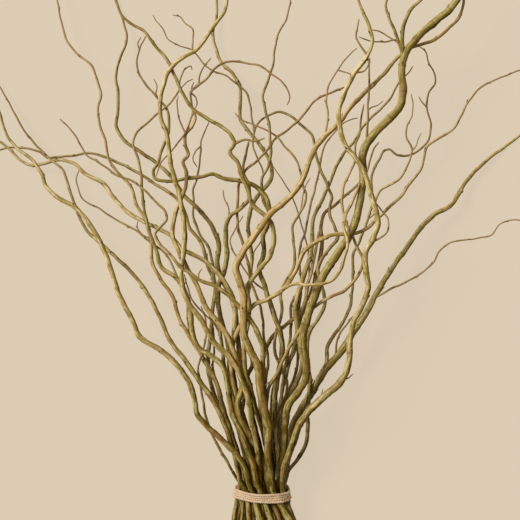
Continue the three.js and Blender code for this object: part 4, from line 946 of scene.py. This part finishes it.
def cutWoodMaterial():
    # Freshly cut willow end. It gives the eye dull creamy wood, flecked every half mm, darker at the
    # pith, where the ramp starts, and near the rim, where it ends 5 mm out.
    material, add, grain = newMaterial("cut willow end", "grain")
    flat = add("Mapping", {"Vector": grain, "Scale": (1, 1, 0)})
    radius = add("VectorMath", [flat], "Value", operation="LENGTH")
    fleck = add("TexNoise", {"Vector": flat, "Scale": 2.2, "Detail": 4})
    reach = add("Math", [fleck, 0.8, radius], operation="MULTIPLY_ADD")
    share = add("Math", [reach, 5], operation="DIVIDE")
    wood = add("ValToRGB", [share],
               stops=[(0.12, "#8A6A3E"), (0.22, "#C9B284"), (0.55, "#DCC89C"), (0.9, "#BCA26C")])
    bump = add("Bump", {"Height": fleck, "Strength": 0.4, "Distance": 0.2 * mm})
    add("OutputMaterial", [add("BsdfPrincipled", {
        "Base Color": wood, "Roughness": 0.78, "IOR": 1.5, "Normal": bump})])
    return material


def budMaterial():
    # Winter bud scale. It gives the eye a red-brown drop with a soft shine, flecked every 0.6 mm and
    # lighter at its tip.
    material, add, grain, tip = newMaterial("willow bud scale", "grain", "knot")
    fleck = add("TexNoise", {"Vector": grain, "Scale": 1.6, "Detail": 3})
    tone = add("Math", [fleck, 0.5, tip], operation="MULTIPLY_ADD")
    scale = add("ValToRGB", [tone],
                stops=[(0.15, "#3A2A12"), (0.5, "#6A4F28"), (0.95, "#8F7440"), (1.0, "#A08850")])
    add("OutputMaterial", [add("BsdfPrincipled", {"Base Color": scale, "Roughness": 0.42, "IOR": 1.48})])
    return material


def juteMaterial():
    # Jute twine: dry golden plant fibre, twisted in three plies. It gives the eye a matt straw colour
    # with the grooves between the plies darkened as painted shade, and fine fibre lines along each.
    material, add, grain, paintedGrooveShade = newMaterial("twisted jute fibre", "grain", "knot")
    # fibres about 0.15 mm wide, drawn at 0.3 mm so that they show, and 4 mm long
    fibre = addNoise(add, grain, (3.2, 3.2, 0.25), Detail=4, Roughness=0.7)
    patch = addNoise(add, grain, (0.2, 0.2, 0.06), Detail=2)
    tone = add("Math", [patch, 0.35], operation="MULTIPLY")
    tone = add("Math", [fibre, 0.65, tone], operation="MULTIPLY_ADD")
    straw = add("ValToRGB", [tone],
                stops=[(0.3, "#AE9476"), (0.48, "#CDB69A"), (0.6, "#DCC8B0"), (0.75, "#EEDFCE")])
    # painted shade: where a ply faces into the twine, between the plies, it is painted darker
    colour = add("Mix", {0: paintedGrooveShade, 6: straw, 7: "#8E7054"}, 2, data_type="RGBA")
    bump = add("Bump", {"Height": fibre, "Strength": 0.8, "Distance": 0.3 * mm})
    add("OutputMaterial", [add("BsdfPrincipled", {
        "Base Color": colour, "Roughness": 0.88, "IOR": 1.5, "Normal": bump,
        "Sheen Weight": 0.25, "Sheen Roughness": 0.5})])
    return material


seeds = dict(stem=17, shoot=3, stemGrain=900, shootGrain=90)  # so that no two stems are marked alike
cutWood, budScale, jute = cutWoodMaterial(), budMaterial(), juteMaterial()
barks = {key: barkMaterial("willow bark " + key, look, k)
         for k, (key, look) in enumerate(barkLooks.items())}
for k, item in enumerate(stems):
    shape = Shape()
    for n, line in enumerate(own for own in lines if own["stem"] == k):
        seed = seeds["stem"] * k + seeds["shoot"] * n + 1
        offset = seeds["stemGrain"] * k + seeds["shootGrain"] * n
        addTube(shape, line, seed, line["parent"] is not None, offset)
    finishPiece(shape, "willow_" + item["name"], [barks[item["bark"]], cutWood, budScale],
                item["name"])
print("stems made:", len(stems))

# The twine: three plies laid round one middle line, and loose fibres. Sizes in mm.
strand = dict(plies=3, lay=9, plyRadius=1.0, plyOffset=0.72, step=0.9, sides=8,
              endLength=1.5, endShare=0.02,
              offsetWaves=([13, 29], [1, 1]), offsetShare=0.05,
              girthWaves=([5.3, 11, 23], [0.5, 0.5, 0.6]), girthShare=0.07, girthSeed=9, grainStep=900,
              capRings=[1, 0.5, 0.02])
fibres = dict(count=200, seed=5, length=4, lengths=(0.4, 1.3), radius=0.045, slants=(0.2, 1.0),
              curl=0.35, start=1.25, lowest=0.1, sides=3, clear=8, taper=np.array([1, 1, 0.8, 0.6, 0.2]))


def evenTurns():
    # The twine's line with its turns side by side: how far a place is round its turn is read from its
    # bearing on the oval, so that turns lie one pitch apart everywhere.
    line = twineLine - origin
    x, y, z = line.T
    wound = twine["turns"] * twine["perTurn"] + 1
    halfWidth, halfHeight = np.ptp(x) / 2, np.ptp(z) / 2
    bearing = np.arctan2((z - z.min()) / halfHeight - 1, (x - x.min()) / halfWidth - 1)
    bearing = np.unwrap(bearing)[:wound]
    even = -twine["slant"] * np.sin(bearing) - (bearing - bearing[0]) / fullTurn * twine["pitch"]
    shift = even - even.mean() + y[:wound].mean() - y[:wound]
    line[:wound, 1] += shift
    line[wound:, 1] += shift[-1] * np.linspace(1, 0, len(line) - wound)
    return line


def addTwine(shape):
    # Each ply circles the middle line once per lay, and its width wavers a little along it.
    s, curve, _ = smoothCurve(evenTurns(), np.ones(len(twineLine)), strand["step"])
    ahead, side, across = bendFrames(curve, alongY)
    sides = strand["sides"]
    angle = np.arange(sides) * fullTurn / sides
    for ply in range(strand["plies"]):
        turn = fullTurn * (s / strand["lay"] + ply / strand["plies"])
        away = np.cos(turn)[:, None] * side + np.sin(turn)[:, None] * across
        offset = strand["plyOffset"] + strand["offsetShare"] * waves(s, ply, *strand["offsetWaves"])
        middle = curve + away * offset[:, None]
        girth = strand["girthShare"] * waves(s, ply + strand["girthSeed"], *strand["girthWaves"])
        ends = np.minimum(s, s[-1] - s) / strand["endLength"]
        size = strand["plyRadius"] * (1 + girth) * np.sqrt(np.clip(ends, strand["endShare"], 1))
        ring = ringWays(sides, *bendFrames(middle, alongY)[1:])
        points = middle[:, None] + ring * size[:, None, None]
        # how far each point faces into the twine, which the twine's material paints darker as painted
        # shade
        inward = np.clip(-(ring * away[:, None]).sum(2), 0, 1)
        spin = angle[None, :] + turn[:, None]
        lengthwise = np.broadcast_to(s[:, None] + strand["grainStep"] * ply, spin.shape)
        grain = np.stack([np.cos(spin), np.sin(spin), lengthwise], 2)
        shape.add(points, gridFaces(len(s), sides), grain, 1, inward)
        shrink = np.array(strand["capRings"])[:, None, None]
        capFaces = gridFaces(len(shrink), sides)
        for k, quads in ((0, capFaces[:, ::-1]), (-1, capFaces)):
            centre = points[k].mean(0)
            cap = centre + (points[k] - centre) * shrink
            shape.add(cap, quads, np.tile(grain[k], (len(shrink), 1)), 1, 0)
    return curve, ahead, side, across


def addFibres(shape, curve, ahead, side, across):
    # Loose fibres: thin hairs that leave the twine at a slant and curl with the square of the length.
    rng = np.random.default_rng(fibres["seed"])
    n, rings, sides = fibres["count"], len(fibres["taper"]), fibres["sides"]
    i = rng.integers(fibres["clear"], len(curve) - fibres["clear"], n)
    turn = rng.uniform(0, fullTurn, n)
    out = np.cos(turn)[:, None] * side[i] + np.sin(turn)[:, None] * across[i]
    way = ahead[i] * rng.choice([-1, 1], n)[:, None]
    way = unit(way + out * rng.uniform(*fibres["slants"], n)[:, None])
    curl = np.cross(way, rng.normal(size=(n, 3)))
    length = fibres["length"] * rng.uniform(*fibres["lengths"], n)
    t = np.linspace(0, 1, rings)
    spine = ((curve[i] + out * fibres["start"])[:, None]
             + way[:, None] * (t[None, :] * length[:, None])[..., None]
             + curl[:, None] * (t[None, :] ** 2 * length[:, None] * fibres["curl"])[..., None])
    spine[..., 2] = np.maximum(spine[..., 2], fibres["lowest"])
    thick = fibres["radius"] * fibres["taper"]
    ring = ringWays(sides, out, np.cross(way, out))
    points = spine[:, :, None] + ring[:, None] * thick[None, :, None, None]
    first = (np.arange(n) * rings * sides)[:, None, None]
    quads = (gridFaces(rings, sides)[None] + first).reshape(-1, 4)
    shape.add(points, quads, points, 1, 0)


twineShape = Shape()
addFibres(twineShape, *addTwine(twineShape))
finishPiece(twineShape, "jute_twine", [jute], "twine")
print("twine made")

# Floor, light and camera, in metres.
# the floor's glow is painted light: it keeps the shadows on the floor faint and lights the stems from
# below
studio = dict(floor="#564E42", glow="#D0C2AD", glowStrength=1.0, floorSize=40,
              sky="#FFDCA6", skyStrength=0.22,
              keyPlace=(-1.7, 1.1, 2.0), keyStrength=3.0, keyAngle=24, keyColour="#FFF9EE",
              fillPlace=(0, 0.15, 2.4), fillPower=5, fillSize=1.2, fillColour="#FFF8EE", sensor=36)


def makeFloor():
    # A plain pale sheet that glows by itself, painted light from a sheet that is no lamp: matt, with no
    # pattern, and with only faint shadows on it, as the glow fills them; the glow also lights the stems
    # from below.
    material, add = newMaterial("pale glowing backdrop")
    add("OutputMaterial", [add("BsdfPrincipled", {
        "Base Color": studio["floor"], "Roughness": 0.95, "Specular IOR Level": 0.1,
        "Emission Color": studio["glow"], "Emission Strength": studio["glowStrength"]})])
    half = studio["floorSize"] / 2
    mesh = bpy.data.meshes.new("floor")
    corners = [(-half, -half, 0), (half, -half, 0), (half, half, 0), (-half, half, 0)]
    mesh.from_pydata(corners, [], [(0, 1, 2, 3)])
    mesh.materials.append(material)
    floor = bpy.data.objects.new("floor", mesh)
    bpy.context.scene.collection.objects.link(floor)


def addLight(name, kind, place, strength, colour):
    # A lamp at a place that looks at the middle of the bunch.
    light = bpy.data.lights.new(name, kind)
    light.energy = strength
    light.color = linear(colour)[:3]
    lamp = bpy.data.objects.new(name, light)
    lamp.location = place
    x, y, z = place
    lamp.rotation_euler = (math.acos(z / math.sqrt(x * x + y * y + z * z)), 0, math.atan2(x, -y))
    bpy.context.scene.collection.objects.link(lamp)
    return light


def makeCamera():
    # The eye is straight above the middle of the photo, so the tips are up in the picture.
    camera = bpy.data.cameras.new("camera")
    camera.sensor_width = studio["sensor"]
    camera.lens = studio["sensor"] * photo["eyeDistance"] / (photo["size"] * photo["pixel"])
    camera.clip_start, camera.clip_end = 0.05, 100
    eye = bpy.data.objects.new("camera", camera)
    height = photo["middleHeight"] + photo["eyeDistance"]
    eye.location = (-origin[0] * mm, -origin[1] * mm, (height - origin[2]) * mm)
    bpy.context.scene.collection.objects.link(eye)
    bpy.context.scene.camera = eye


makeFloor()
key = addLight("key", "SUN", studio["keyPlace"], studio["keyStrength"], studio["keyColour"])
key.angle = math.radians(studio["keyAngle"])
fill = addLight("fill", "AREA", studio["fillPlace"], studio["fillPower"], studio["fillColour"])
fill.shape, fill.size = "DISK", studio["fillSize"]
world = bpy.data.worlds.new("studio air")
world.use_nodes = True
sky = world.node_tree.nodes["Background"].inputs
sky["Color"].default_value = linear(studio["sky"])
sky["Strength"].default_value = studio["skyStrength"]
bpy.context.scene.world = world
bpy.context.scene.view_settings.view_transform = "Standard"
makeCamera()
print("floor, light and camera made")
